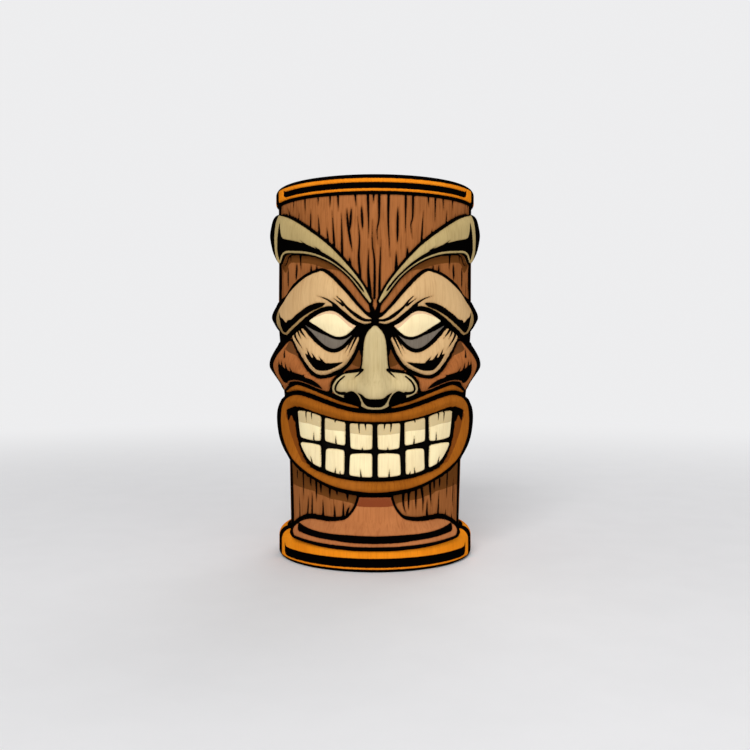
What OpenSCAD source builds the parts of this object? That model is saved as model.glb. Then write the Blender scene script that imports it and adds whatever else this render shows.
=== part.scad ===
// Carved wooden tiki mug: a turned, hollow log with a lift-out steel liner, a rim ring and a base ring,
// and a tiki face built up from separately carved pieces that are pegged and glued to the log.
// Millimetres. The mug stands on z = 0 with its axis on z, and the face looks towards -y.
//
// The face is laid out on the unrolled log: the first number of a point is the girth, measured round the
// log from the middle of the face, and the second is the height. Both are drawn for a log of girth radius
// drawn_r and a mug of height drawn_h, and follow the mug when its radius or height changes.

/* [Mug] */
// Height of the mug
mug_h = 160; // [150:1:170]
// Outer radius of the log from the brow up
log_r = 43; // [41:0.5:45]
// How much slimmer the log is at the chin
chin_taper = 4.6; // [3.5:0.1:5]
// How much slimmer the log is where it enters the base ring
foot_taper = 5.6; // [5:0.1:6]
// Thickness of the wood between the bore and the slimmest part of the log
wood_wall = 5.7; // [5.5:0.1:6.5]

/* [Rim and base] */
// How far the rim ring stands out past the log
rim_overhang = 1; // [0.6:0.1:2]
// Height of the rim ring
rim_h = 7.6; // [7.2:0.1:8.4]
// Outer radius of the base ring
base_r = 42.6; // [41.5:0.1:44]
// Height of the base ring
base_h = 12.4; // [11.5:0.1:13.5]

/* [Liner] */
// Sheet thickness of the steel liner
liner_sheet = 0.8; // [0.6:0.1:1]
// Gap between the liner and the bore
liner_gap = 0.4; // [0.3:0.1:0.6]

/* [Face] */
// Thickness of the crest of the upper brows
upper_brow_t = 3.9; // [3.5:0.1:4.5]
// Thickness of the crest of the heavy brows
brow_t = 4.7; // [4:0.1:5.5]
// Thickness of the eyes
eye_t = 2.7; // [2.2:0.1:3.2]
// Thickness of the bags under the eyes
bag_t = 3.6; // [3:0.1:4.5]
// Projection of the tip of the nose
nose_t = 11; // [9:0.5:13]
// Thickness of the cheeks at the sides
cheek_t = 5.8; // [5:0.1:7]
// Thickness of the lips
lip_t = 5.6; // [5:0.1:6.5]
// Thickness of the teeth with the plate behind them
tooth_t = 4; // [3.5:0.1:4.5]

/* [Joinery] */
// Glue line between a carved piece and the log
glue = 0.15; // [0.15:0.01:0.2]
// Diameter of the pegs
peg_d = 3; // [2.5:0.1:3.2]
// Length of a peg
peg_l = 6; // [5.5:0.1:6.2]

/* [Hidden] */
$fn = 96;
drawn_h = 160;
drawn_r = 43;

// Heights of the log's own steps
rim_z = mug_h - rim_h;
spigot_h = 4.2;
spigot_r = log_r - 2.5;
brow_z = 0.625 * mug_h;
chin_z = 0.28 * mug_h;
foot_r = log_r - foot_taper;
foot_spigot_r = foot_r - 0.9;
slip = 0.1;

// The bore, the floor disc that closes it and the liner that hangs in it
floor_z = 7.6;
bore_foot_r = foot_r - wood_wall;
bore_rim_r = log_r - 6.8;
floor_r = bore_foot_r + 1.8;
liner_foot_r = bore_foot_r - liner_gap;
liner_rim_r = bore_rim_r - liner_gap;
liner_bottom = floor_z + 0.7;
flange_r = log_r - 4.2;
flange_w = flange_r - liner_rim_r;
seat_z = mug_h - 2.6;
gasket_h = 0.8;
flange_z = seat_z + gasket_h + 0.02;
flange_t = 1;

// Pegs: how deep they sit in the log and in the piece
peg_in_log = 3.5;
peg_slip = 0.05;

// Decorative grooves round the rim and the base: a long one at the front and two behind, with lands between
groove_front = 65;
groove_land = 20;
groove_back = (360 - 2 * groove_front - 3 * groove_land) / 2;

// Grain cracks cut into the bare wood: their depth and half their width at the middle
grain_depth = 0.6;
grain_half_w = 0.5;

rim_colour = [0.95, 0.54, 0.12];
log_colour = [0.66, 0.40, 0.21];
horn_colour = [0.72, 0.64, 0.45];
brow_colour = [0.85, 0.70, 0.49];
cream_colour = [1.00, 0.93, 0.74];
shade_colour = [0.47, 0.43, 0.38];
nose_colour = [0.81, 0.73, 0.54];
lip_colour = [0.64, 0.36, 0.09];
throat_colour = [0.73, 0.46, 0.27];
black_colour = [0.06, 0.05, 0.04];
steel_colour = [0.78, 0.79, 0.80];
seal_colour = [0.55, 0.55, 0.53];
peg_colour = [0.80, 0.66, 0.44];

SIDES = ["left", "right"];
TEETH = [1, 2, 3];
NODES = concat(
    ["log_body", "floor_disc", "rim_ring", "base_ring", "liner_cup", "liner_gasket", "nose", "lips",
     "mouth_plate", "throat_panel", "pegs"],
    [for (s = SIDES) for (n = ["upper_brow", "brow", "eye", "eye_shade", "eye_bag", "cheek", "lip_ridge"])
        str(n, "_", s)],
    [for (s = SIDES) for (row = ["upper_tooth", "lower_tooth"]) for (i = TEETH) str(row, "_", s, "_", i)]);
node = "all";

// Radius of the log's outside at a height
function log_at(z) =
    z > brow_z ? log_r :
    z > chin_z ? log_r - chin_taper * (brow_z - z) / (brow_z - chin_z) :
    log_r - chin_taper - (foot_taper - chin_taper) * (chin_z - z) / (chin_z - base_h);

// Radius of the base ring's outside at a height: straight, with its rounded shoulder
base_round = 4.4;
function base_at(z) =
    z > base_h ? 0 :
    z < base_h - base_round ? base_r :
    base_r - base_round + sqrt(max(0, pow(base_round, 2) - pow(z - base_h + base_round, 2)));

// A point on the mug from a girth, a height and a radius
function turn(girth) = girth * 180 / (PI * drawn_r);
function height(z) = z * mug_h / drawn_h;
function on_mug(girth, z, r) = [r * sin(turn(girth)), -r * cos(turn(girth)), z];

// Smooth curve through a list of points, with sub steps between neighbours
function between(a, b, c, d, t) =
    b + 0.5 * t * (c - a + t * (2 * a - 5 * b + 4 * c - d + t * (3 * (b - c) + d - a)));
function clip(i, n) = max(0, min(n - 1, i));
function curve(p, sub) = concat(
    [for (i = [0 : len(p) - 2]) for (k = [0 : sub - 1])
        between(p[clip(i - 1, len(p))], p[i], p[i + 1], p[clip(i + 2, len(p))], k / sub)],
    [p[len(p) - 1]]);
function loop(p, sub) = [for (i = [0 : len(p) - 1]) for (k = [0 : sub - 1])
    between(p[(i + len(p) - 1) % len(p)], p[i], p[(i + 1) % len(p)], p[(i + 2) % len(p)], k / sub)];

// A half outline that is drawn from the middle of the face out, mirrored to make the whole one
function reversed(p) = [for (i = [len(p) - 1 : -1 : 0]) p[i]];
function other_side(p) = [for (q = p) [-q[0], q[1]]];
function both_sides(p) = concat(reversed(other_side([for (i = [1 : len(p) - 1]) p[i]])), p);
function all_round(p) = concat(p, reversed(other_side([for (i = [1 : len(p) - 2]) p[i]])));

// Rounded rise across a piece: edge of its full thickness at the edges, 1 at a crest that skew moves
function rise(c, edge, skew, power) = edge + (1 - edge) * pow(max(0, sin(180 * pow(c, skew))), power);
function ease(t) = t <= 0 ? 0 : t >= 1 ? 1 : t * t * (3 - 2 * t);

// A carved piece: a skin between two edge curves that stands off the log by thick, and a back that fits
// the log. Each rib runs across from edge_a to edge_b, and rows is the number of steps along a rib.
module relief(edge_a, edge_b, rows, thick, closed = false, back = function(z) log_at(z) + glue) {
    ribs = len(edge_a);
    wide = rows + 1;
    skin = [for (i = [0 : ribs - 1]) for (j = [0 : rows])
        let (c = j / rows, p = edge_a[i] + (edge_b[i] - edge_a[i]) * c, z = height(p[1]))
        on_mug(p[0], z, log_at(z) + thick(i / (ribs - 1), c, p))];
    rear = [for (i = [0 : ribs - 1]) for (j = [0 : rows])
        let (p = edge_a[i] + (edge_b[i] - edge_a[i]) * j / rows, z = height(p[1]))
        on_mug(p[0], z, back(z))];
    r0 = ribs * wide;
    last = closed ? ribs - 1 : ribs - 2;
    function at(i, j) = (i % ribs) * wide + j;
    function two(a, b, c, d) = [[a, b, c], [a, c, d]];
    faces = concat(
        [for (i = [0 : last]) for (j = [0 : rows - 1]) for (f = concat(
            two(at(i, j), at(i, j + 1), at(i + 1, j + 1), at(i + 1, j)),
            two(r0 + at(i, j), r0 + at(i + 1, j), r0 + at(i + 1, j + 1), r0 + at(i, j + 1)))) f],
        [for (i = [0 : last]) for (f = concat(
            two(at(i, 0), at(i + 1, 0), r0 + at(i + 1, 0), r0 + at(i, 0)),
            two(at(i, rows), r0 + at(i, rows), r0 + at(i + 1, rows), at(i + 1, rows)))) f],
        closed ? [] : [for (j = [0 : rows - 1]) for (f = concat(
            two(at(0, j), r0 + at(0, j), r0 + at(0, j + 1), at(0, j + 1)),
            two(at(ribs - 1, j), at(ribs - 1, j + 1), r0 + at(ribs - 1, j + 1), r0 + at(ribs - 1, j)))) f]);
    polyhedron(concat(skin, rear), faces, convexity = 6);
}

// Where the pegs go, as girth and height on the right half of the face
upper_brow_pegs = [[38, 138], [54, 138.5]];
brow_pegs = [[23, 112], [37, 104]];
cheek_pegs = [[44, 84], [55, 83]];
lip_pegs = [[43.5, 59], [22, 66]];
throat_pegs = [[24, 16.6]];
nose_pegs = [[0, 88], [0, 74]];

module peg_at(p, r, out) {
    z = height(p[1]);
    translate(on_mug(p[0], z, log_at(z) - peg_in_log - out))
        rotate([90, 0, turn(p[0])])
            cylinder(r = r, h = peg_l + 2 * out);
}
module peg_holes(places) { for (p = places) peg_at(p, peg_d / 2 + peg_slip, 0.2); }
module mirrored(side) { mirror([side == "left" ? 1 : 0, 0, 0]) children(); }

// A turned ring's section: a rectangle whose outer corners are rounded
module ring_section(r_in, r_out, z0, z1, low_round, high_round) {
    intersection() {
        translate([r_in, z0]) square([r_out - r_in, z1 - z0]);
        hull() {
            translate([0, z0]) square([r_in, z1 - z0]);
            translate([r_out - low_round, z0 + low_round]) circle(low_round);
            translate([r_out - high_round, z1 - high_round]) circle(high_round);
        }
    }
}

// Grooves cut into a ring: a round section sunk by depth, in three runs
module ring_grooves(r, z, width, depth) {
    cut_r = (pow(width / 2, 2) + pow(depth, 2)) / (2 * depth);
    runs = [[-90 - groove_front, 2 * groove_front],
            [-90 + groove_front + groove_land, groove_back],
            [90 + groove_land / 2, groove_back]];
    for (run = runs)
        rotate([0, 0, run[0]]) rotate_extrude(angle = run[1])
            translate([r + cut_r - depth, z]) circle(cut_r);
}

// Grain cracks that show between the carved pieces, as girth, lower end and upper end
forehead_cracks = [[-28.6, 139.8, 147.1], [-24.3, 137.1, 144.4], [-17.5, 131.3, 145.7],
                   [-13.7, 128.8, 144.3], [-10.2, 129, 146.3], [-6.4, 119.4, 142.9],
                   [-2.7, 134.3, 150.9], [-2.4, 113.5, 129.9], [2.1, 113.5, 133.5], [1.3, 134.5, 150.9],
                   [5.6, 126.7, 150.9], [9.2, 132.1, 146.7], [12.6, 136.7, 151], [15.5, 134.3, 151],
                   [20.2, 133.7, 145.8], [26.5, 141.8, 150.2]];
temple_cracks = [[34.7, 122.6, 127.8], [37.4, 119.1, 125.4], [44.3, 116.5, 124.6], [53, 114, 125],
                 [63, 115, 129]];
chin_cracks = [[15, 22.5, 28.5], [19.8, 22.5, 29], [26.4, 21.5, 28], [30.4, 25.5, 32], [33.6, 21.5, 30],
               [36.6, 22, 28.5], [39.8, 27, 34.5], [44, 20, 28.5], [46.9, 25.5, 36], [57, 16, 28],
               [68, 22, 40]];

// Columns of grain cracks round the back, from one side of the face to the other
back_columns = 10;
back_from = 80;
back_zones = [[14, 44.8, 2], [44.8, 100, 3], [100, 150.8, 3]];
function spread(i) = i * 0.618 - floor(i * 0.618);
back_cracks = [for (n = [0 : 2]) for (i = [0 : back_columns - 1]) for (k = [0 : back_zones[n][2] - 1])
    let (zone = back_zones[n], pitch = (zone[1] - zone[0]) / zone[2], wide = 2 * (PI * drawn_r - back_from),
         long = pitch * (0.5 + 0.4 * spread(5 * i + 3 * k + n)),
         low = zone[0] + pitch * k + (pitch - long) * (0.1 + 0.8 * spread(7 * i + 2 * k + n)),
         girth = back_from + wide / back_columns * (i + 0.2 + 0.6 * spread(3 * i + k + n)))
    [girth, low, low + long]];

module crack(c) {
    low = height(c[1]);
    high = height(c[2]);
    mid = (low + high) / 2;
    slope = atan((log_at(high) - log_at(low)) / (high - low));
    translate(on_mug(c[0], mid, log_at(mid) - grain_depth))
        rotate([90 + slope, 0, turn(c[0])])
            linear_extrude(grain_depth + 1)
                polygon([[0, low - mid], [grain_half_w, 0], [0, high - mid], [-grain_half_w, 0]]);
}

module log_body() {
    color(log_colour) difference() {
        rotate_extrude() polygon([
            [floor_r, 0], [foot_spigot_r, 0], [foot_spigot_r, base_h], [foot_r, base_h],
            [log_r - chin_taper, chin_z], [log_r, brow_z], [log_r, rim_z], [spigot_r, rim_z],
            [spigot_r, rim_z + spigot_h], [bore_rim_r, rim_z + spigot_h], [bore_foot_r, floor_z],
            [floor_r, floor_z]]);
        for (side = SIDES) mirrored(side) {
            peg_holes(upper_brow_pegs);
            peg_holes(brow_pegs);
            peg_holes(cheek_pegs);
            peg_holes(lip_pegs);
            peg_holes(throat_pegs);
            for (c = concat(temple_cracks, chin_cracks)) crack(c);
        }
        peg_holes(nose_pegs);
        for (c = concat(forehead_cracks, back_cracks)) crack(c);
    }
}

module floor_disc() {
    color(peg_colour) cylinder(r = floor_r - slip, h = floor_z - slip);
}

rim_groove_z = mug_h - 4.75;
module rim_ring() {
    color(rim_colour) difference() {
        rotate_extrude() difference() {
            ring_section(bore_rim_r, log_r + rim_overhang, rim_z, mug_h, 1.6, 2.6);
            translate([0, rim_z - slip]) square([spigot_r + slip, spigot_h + 2 * slip]);
            translate([0, seat_z]) square([flange_r + 0.3, mug_h]);
        }
        ring_grooves(log_r + rim_overhang, rim_groove_z, 3.1, 0.8);
    }
}

base_groove_z = 3.95;
module base_ring() {
    color(rim_colour) difference() {
        rotate_extrude() ring_section(foot_spigot_r + slip, base_r, 0, base_h, 2, base_round);
        ring_grooves(base_r, base_groove_z, 3.7, 0.9);
    }
}

module liner_gasket() {
    color(seal_colour) translate([0, 0, seat_z]) difference() {
        cylinder(r = flange_r - 0.1, h = gasket_h);
        translate([0, 0, -1]) cylinder(r = bore_rim_r + 0.1, h = gasket_h + 2);
    }
}

liner_round = 5;
module liner_cup() {
    lean = (liner_rim_r - liner_foot_r) / (flange_z - liner_bottom);
    in_foot_r = liner_foot_r - liner_sheet;
    color(steel_colour) difference() {
        rotate_extrude() {
            polygon([[0, liner_bottom], [liner_foot_r - liner_round, liner_bottom],
                     [liner_foot_r, liner_bottom + liner_round],
                     [liner_rim_r, flange_z], [flange_r, flange_z], [flange_r, flange_z + flange_t],
                     [0, flange_z + flange_t]]);
            translate([liner_foot_r - liner_round, liner_bottom + liner_round]) circle(liner_round);
        }
        rotate_extrude() {
            inner_round = liner_round - liner_sheet;
            floor_top = liner_bottom + liner_sheet;
            polygon([[0, floor_top], [in_foot_r - inner_round, floor_top],
                     [in_foot_r, floor_top + inner_round],
                     [liner_rim_r - liner_sheet, flange_z], [liner_rim_r - liner_sheet + lean, mug_h + 1],
                     [0, mug_h + 1]]);
            translate([in_foot_r - inner_round, floor_top + inner_round]) circle(inner_round);
        }
    }
}

// Upper brow: a leaf that sweeps up from between the eyes and wraps round the side
module upper_brow(side) {
    top = [[1, 109], [4, 115], [9.5, 122.6], [17.5, 131.2], [26.5, 138], [35.5, 143.2], [41.5, 145.6],
           [45, 146.5], [47.5, 147.1], [50, 147.3], [53, 147], [56.5, 145.9], [59.5, 144], [61.5, 141.2]];
    bottom = [[1.6, 107], [5, 111.3], [10.5, 118.4], [18, 124.3], [27, 127.8], [36, 129.1], [41.4, 129.5],
              [43.8, 128.4], [45.4, 126.2], [47.4, 125.9], [50.4, 127.8], [54.4, 130.6], [58.4, 133.6],
              [61.5, 137]];
    color(horn_colour) mirrored(side) difference() {
        relief(curve(bottom, 2), curve(top, 2), 6, function(t, c, p)
            (1.8 + (upper_brow_t - 1.8) * ease(2 * t)) * rise(c, 0.55 + 0.2 * ease(2 * t - 0.6), 1.3, 0.6));
        peg_holes(upper_brow_pegs);
    }
}

// Heavy brow: an arch over the eye that ends in a drooping tongue at the side
module brow(side) {
    top = [[1, 102.2], [2.6, 103.2], [4.6, 105.3], [7.2, 108.2], [10, 111.7], [13.2, 115.3],
           [16.6, 118.7], [19.8, 121.1], [22.8, 122.1], [25.8, 121.7], [29.2, 120.7], [33.6, 118.6],
           [38.4, 115.9], [43, 112.9], [48, 111.6], [52, 111], [56, 109.8], [59.4, 107.8], [61.5, 105]];
    bottom = [[1, 99.9], [2.6, 99.4], [4.6, 99.3], [7.2, 100.1], [10, 101.6], [13.2, 104.1],
              [16.6, 106.4], [19.8, 106.3], [22.8, 105.4], [25.8, 104], [29.2, 102], [33.6, 99.2],
              [38.4, 96.9], [43, 95.4], [48, 96.2], [52, 97], [56, 98.4], [59.4, 100.2], [61.5, 102.6]];
    color(brow_colour) mirrored(side) difference() {
        relief(curve(bottom, 2), curve(top, 2), 6, function(t, c, p)
            (3.2 + (brow_t - 3.2) * ease(4 * t) - 1.4 * ease((p[0] - 34) / 20))
            * rise(c, 0.5 - 0.38 * ease((p[0] - 34) / 16), 0.95, 0.8));
        peg_holes(brow_pegs);
    }
}

module eye(side) {
    top = [[7.1, 99.2], [9.8, 100.7], [12.9, 103.2], [15.4, 104.9], [17.4, 105.4], [19.8, 105.2],
           [23.4, 104.1], [28.2, 101.5]];
    bottom = [[7.2, 98.7], [9.3, 96.6], [11.6, 95], [14, 94.4], [16.6, 94.8], [20, 96.4],
              [23.4, 98.4], [28.1, 101]];
    color(cream_colour) mirrored(side)
        relief(curve(bottom, 2), curve(top, 2), 4, function(t, c, p)
            1.5 + (eye_t - 1.5) * sin(180 * c) * pow(max(0, sin(180 * t)), 0.5));
}

// The dark crescent that shows under the eye
module eye_shade(side) {
    top = [[8.4, 96.2], [11.4, 94.3], [14.1, 93.7], [16.7, 94.1], [20, 95.5], [23.5, 96.8],
           [27.4, 98.5], [30.8, 100.1]];
    bottom = [[8.4, 95.8], [10.9, 93.1], [13.4, 90.9], [16.8, 89.7], [20.2, 90.7], [23.6, 93.2],
              [27, 96.4], [30.6, 99.6]];
    color(shade_colour) mirrored(side)
        relief(curve(bottom, 3), curve(top, 3), 2, function(t, c, p) 1.3 + 0.3 * sin(180 * c));
}

module eye_bag(side) {
    top = [[6.2, 96], [8.4, 94.5], [10.2, 92.4], [12.7, 90.1], [15.5, 88.8], [18.5, 88.9], [21.7, 90.4],
           [25.2, 93], [28.2, 95.8], [31.4, 98.6], [34.6, 97.3], [37.2, 95.6]];
    bottom = [[5.8, 93.4], [7.8, 88.4], [10.4, 84.3], [13.1, 81.9], [16.6, 80.3], [20.2, 79.1],
              [23.8, 79], [26.6, 80.1], [29.9, 83], [33.2, 87.3], [35.9, 91.8], [37.2, 94.6]];
    color(brow_colour) mirrored(side)
        relief(curve(bottom, 2), curve(top, 2), 5, function(t, c, p)
            bag_t * rise(c, 0.45, 0.6, 0.7));
}

// Nose: a bridge, a round tip and two wings that run into each other
nose_outline = [[0.8, 99.3], [2.8, 96.9], [4, 94], [4.5, 90], [4.8, 86], [5.2, 82.8], [6, 81.2],
                [7.8, 80.8], [11.2, 80.3], [13, 79.2], [14.8, 77.5], [16, 75.8], [16.8, 74.1],
                [16.5, 72.6], [15, 71.4], [12.4, 70.2], [8.4, 68.5], [5.6, 66.9], [3.4, 65.8], [1.5, 65.5]];
tip = [0, 72.5];
wing = [11.2, 75.1];
nostril = [7.4, 69.6];
function bump(p, centre, r) = pow(max(0, 1 - pow(norm(p - centre) / r, 2)), 1.2);
function nose_rise(p) =
    let (q = [abs(p[0]), p[1]],
         bridge = (nose_t - 3.5 - 0.14 * (p[1] - 72)) * pow(max(0, 1 - pow(p[0] / 7, 2)), 1.2)
                  * ease((99.5 - p[1]) / 4 + 0.45) * ease((p[1] - 64) / 8),
         ball = (nose_t - 2) * bump(p, tip, 10),
         side = 0.55 * nose_t * bump(q, wing, 8),
         hollow = 2.4 * bump(q, nostril, 4))
    2.4 + max(0, pow(pow(bridge, 3) + pow(ball, 3) + pow(side, 3), 1 / 3) - hollow);
module nose() {
    edge = curve(nose_outline, 2);
    color(nose_colour) difference() {
        relief(other_side(edge), edge, 14, function(t, c, p) nose_rise(p));
        peg_holes(nose_pegs);
    }
}

// Cheek: puffed out most at the side of the face, thin where it runs in beside the nose
module cheek(side) {
    top = [[14, 81], [15.9, 79.8], [17.8, 79], [19.7, 78.5], [22, 78.2], [24.4, 78.2], [27.6, 79.6],
           [30.8, 82.4], [34, 86.3], [36.8, 90.4], [39.6, 93.2], [44, 93.9], [50, 94], [54, 93.2],
           [57.6, 91.4], [60.6, 88.6], [62.5, 85]];
    bottom = [[14, 80.5], [15.9, 78.9], [18, 76.4], [19.3, 72.6], [21.8, 72.5], [24.5, 73.2],
              [28, 74.4], [31.6, 75.4], [34.7, 75.9], [37.6, 76.1], [40.4, 76], [44.5, 75.4],
              [49.5, 72.4], [54, 72], [57.6, 73], [60.6, 75.2], [62.5, 79]];
    color(log_colour) mirrored(side) difference() {
        relief(curve(bottom, 2), curve(top, 2), 6, function(t, c, p)
            (2.6 + (cheek_t - 2.6) * ease((p[0] - 14) / 30))
            * rise(c, 0.4 - 0.3 * ease((p[0] - 20) / 25), 0.95 + 0.3 * ease((p[0] - 40) / 20),
                   0.95 + 0.2 * ease((p[0] - 40) / 20)));
        peg_holes(cheek_pegs);
    }
}

module lip_ridge(side) {
    top = [[6.4, 66.9], [10, 68], [14.2, 69.1], [18.6, 70.6], [23.4, 72.2], [28.6, 73.8], [34.6, 75.2],
           [41, 75.4], [45, 74.5], [48.4, 72.2]];
    bottom = [[6.2, 65.6], [10, 66], [14.2, 67], [18.6, 68.3], [23.4, 69.7], [28.6, 71.2], [34.6, 72.2],
              [39.5, 72], [43.6, 71.3], [47.4, 71]];
    color(lip_colour) mirrored(side)
        relief(curve(bottom, 2), curve(top, 2), 3, function(t, c, p) 3.4 * rise(c, 0.5, 1, 0.8));
}

// The mouth, from the middle of the upper lip round to the middle of the lower one
lip_outside = [[0, 64.6], [7, 64.9], [14, 66.3], [21, 68.3], [28, 70.3], [34.5, 71.4], [41, 71.3],
               [47.5, 70.1], [54, 67], [59, 62.5], [60, 57], [57.5, 51.6], [51.5, 46.8], [44.5, 42.6],
               [36.5, 38.8], [27.5, 35.4], [18, 32.8], [9, 31.5], [0, 31]];
lip_inside = [[0, 60.3], [6.5, 60.4], [13, 60.9], [18.5, 61.9], [24, 63.2], [29.3, 64.5], [33.8, 65.5],
              [36.9, 65.3], [38.2, 63.2], [38.3, 59.6], [38, 55.5], [37.4, 51.4], [36.3, 47.4],
              [33.6, 43.9], [29.5, 41.2], [23.5, 39.4], [16, 37.8], [8, 36.9], [0, 36.7]];
module lips() {
    color(lip_colour) difference() {
        relief(loop(all_round(lip_inside), 2), loop(all_round(lip_outside), 2), 6,
               function(t, c, p) lip_t * rise(c, 0.4, 1.1, 0.7), closed = true);
        for (side = SIDES) mirrored(side) peg_holes(lip_pegs);
    }
}

plate_t = 1.2;
plate_gap = 0.3;
module mouth_plate() {
    top = [[0, 60.3], [8, 60.4], [16, 61.3], [23.5, 63.1], [29.5, 64.5], [33.6, 65.4], [36.3, 65],
           [37.6, 62]];
    bottom = [[0, 36.7], [8, 36.9], [16, 37.8], [23.5, 39.4], [29.5, 41.2], [33.6, 44], [36.1, 47.6],
              [37.5, 55.5]];
    gap = [0, plate_gap];
    low = both_sides([for (p = bottom) p + gap]);
    high = both_sides([for (p = top) p - gap]);
    color(black_colour) relief(curve(low, 2), curve(high, 2), 4, function(t, c, p) plate_t);
}

// Teeth, from the middle of the mouth out: bottom and top edges
upper_teeth = [
    [[[1.1, 49.4], [5.6, 49.2], [10.3, 49.7]], [[0.9, 59.7], [5.6, 59.8], [10.5, 60.1]]],
    [[[12.5, 50.7], [17, 51.4], [21.8, 52.3]], [[12.1, 60.3], [16.7, 61.1], [21.4, 62.1]]],
    [[[24, 52.2], [30, 52.4], [35.6, 53.2]], [[23.1, 62.5], [29.6, 64.1], [36.3, 64.4]]]];
lower_teeth = [
    [[[1.1, 38.1], [6, 38.2], [11.1, 38.8]], [[1.1, 47.8], [6, 47.9], [10.6, 47.5]]],
    [[[13.2, 38.9], [17.5, 39.4], [22.2, 40.6]], [[12.9, 49], [17.2, 49.5], [21.5, 49.4]]],
    [[[24.2, 41.1], [30.8, 43.9], [35.7, 50.2]], [[24.1, 50.6], [30, 51.2], [35.8, 51.2]]]];
module tooth(edges, side) {
    color(cream_colour) mirrored(side)
        relief(curve(edges[0], 3), curve(edges[1], 3), 4,
               function(t, c, p) tooth_t - 0.7 + 0.7 * sin(180 * c) * sin(180 * t),
               back = function(z) log_at(z) + plate_t + glue);
}

// Throat panel: a neck under the chin that widens into a foot and laps over the base ring
module throat_panel() {
    top = [[0, 30.4], [4, 30.4], [7.4, 30.4], [8, 28.4], [9, 25.9], [10.6, 23.6], [13, 21.4],
           [16.5, 20.5], [21, 20.1], [26, 20.2], [30, 20.2], [33.5, 19.6], [36.8, 18.3], [39.3, 16.4],
           [41, 14.4]];
    bottom = [[0, 9.2], [4, 9.2], [7.4, 9.2], [8, 9.2], [9, 9.2], [10.6, 9.3], [13, 9.4], [16.5, 9.5],
              [21, 9.7], [26, 10], [30, 10.3], [33.5, 10.6], [36.8, 10.9], [39.3, 11.4], [41, 12.9]];
    foot_out = base_r + 1.7;
    lap = 0.4;
    ease_up = 1;
    color(throat_colour) difference() {
        relief(both_sides(bottom), both_sides(top), 12, function(t, c, p)
            let (z = height(p[1])) max(2.3, foot_out - log_at(z) - 0.09 * pow(max(0, p[1] - 13), 2)),
            back = function(z) max(log_at(z) + glue, base_at(z - ease_up) + lap));
        for (side = SIDES) mirrored(side) peg_holes(throat_pegs);
    }
}

module pegs() {
    color(peg_colour) {
        for (side = SIDES) mirrored(side)
            for (p = concat(upper_brow_pegs, brow_pegs, cheek_pegs, lip_pegs, throat_pegs))
                peg_at(p, peg_d / 2, 0);
        for (p = nose_pegs) peg_at(p, peg_d / 2, 0);
    }
}

function wanted(name) = node == "all" || node == name;
if (wanted("log_body")) log_body();
if (wanted("floor_disc")) floor_disc();
if (wanted("rim_ring")) rim_ring();
if (wanted("base_ring")) base_ring();
if (wanted("liner_cup")) liner_cup();
if (wanted("liner_gasket")) liner_gasket();
if (wanted("nose")) nose();
if (wanted("lips")) lips();
if (wanted("mouth_plate")) mouth_plate();
if (wanted("throat_panel")) throat_panel();
if (wanted("pegs")) pegs();
for (side = SIDES) {
    if (wanted(str("upper_brow_", side))) upper_brow(side);
    if (wanted(str("brow_", side))) brow(side);
    if (wanted(str("eye_", side))) eye(side);
    if (wanted(str("eye_shade_", side))) eye_shade(side);
    if (wanted(str("eye_bag_", side))) eye_bag(side);
    if (wanted(str("cheek_", side))) cheek(side);
    if (wanted(str("lip_ridge_", side))) lip_ridge(side);
    for (i = TEETH) {
        if (wanted(str("upper_tooth_", side, "_", i))) tooth(upper_teeth[i - 1], side);
        if (wanted(str("lower_tooth_", side, "_", i))) tooth(lower_teeth[i - 1], side);
    }
}
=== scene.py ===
"""Looks of the carved tiki mug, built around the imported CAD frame.

Every carved piece takes its outline and its height from its CAD node and gets a finer skin: a smooth
outline, rounded edges and cut-in black shading. Sizes are in millimetres on the unrolled mug: girth from
the middle of the face, height, and radius from the axis.
"""
import math
import random

import bpy
import numpy as np
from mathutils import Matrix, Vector
from mathutils.bvhtree import BVHTree
from mathutils.geometry import delaunay_2d_cdt


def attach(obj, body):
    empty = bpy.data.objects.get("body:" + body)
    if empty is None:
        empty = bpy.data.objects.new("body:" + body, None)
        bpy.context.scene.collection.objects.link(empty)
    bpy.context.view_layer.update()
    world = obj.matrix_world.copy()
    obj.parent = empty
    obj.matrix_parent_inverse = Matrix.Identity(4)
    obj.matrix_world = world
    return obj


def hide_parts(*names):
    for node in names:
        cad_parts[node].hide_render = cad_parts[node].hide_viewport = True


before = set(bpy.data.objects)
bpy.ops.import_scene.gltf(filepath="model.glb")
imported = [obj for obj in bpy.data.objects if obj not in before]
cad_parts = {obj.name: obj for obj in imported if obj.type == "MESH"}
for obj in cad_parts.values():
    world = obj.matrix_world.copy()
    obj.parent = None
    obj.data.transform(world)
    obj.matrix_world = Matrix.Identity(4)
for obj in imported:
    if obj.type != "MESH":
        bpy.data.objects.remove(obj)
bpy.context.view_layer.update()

MM = 0.001
GIRTH_R = 43.0
SIDES = ("left", "right")

# The mug's main sizes, as in the CAD model
MUG_H = 160.0
LOG_R = 43.0
CHIN_R, CHIN_Z = 38.4, 44.8
FOOT_R, BASE_H = 37.4, 12.4
BROW_Z = 100.0
RIM_Z = 152.4
RIM_R = 44.0
BASE_R, BASE_ROUND = 42.6, 4.4
GLUE = 0.15
PLATE_T = 1.2

# Ink or painted shade distance where nothing is marked: these distances are positive inside a mark
NO_MARK = -9.0


def log_at(z):
    """Radius of the log's outside at a height."""
    return np.interp(z, [BASE_H, CHIN_Z, BROW_Z], [FOOT_R, CHIN_R, LOG_R])


# Curves and distances on the unrolled mug

def unrolled(points):
    """Girth, height and radius of points given in metres."""
    x, y, z = (np.asarray(points, float) / MM).T
    return np.stack([np.arctan2(x, -y) * GIRTH_R, z, np.hypot(x, y)], 1)


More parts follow.
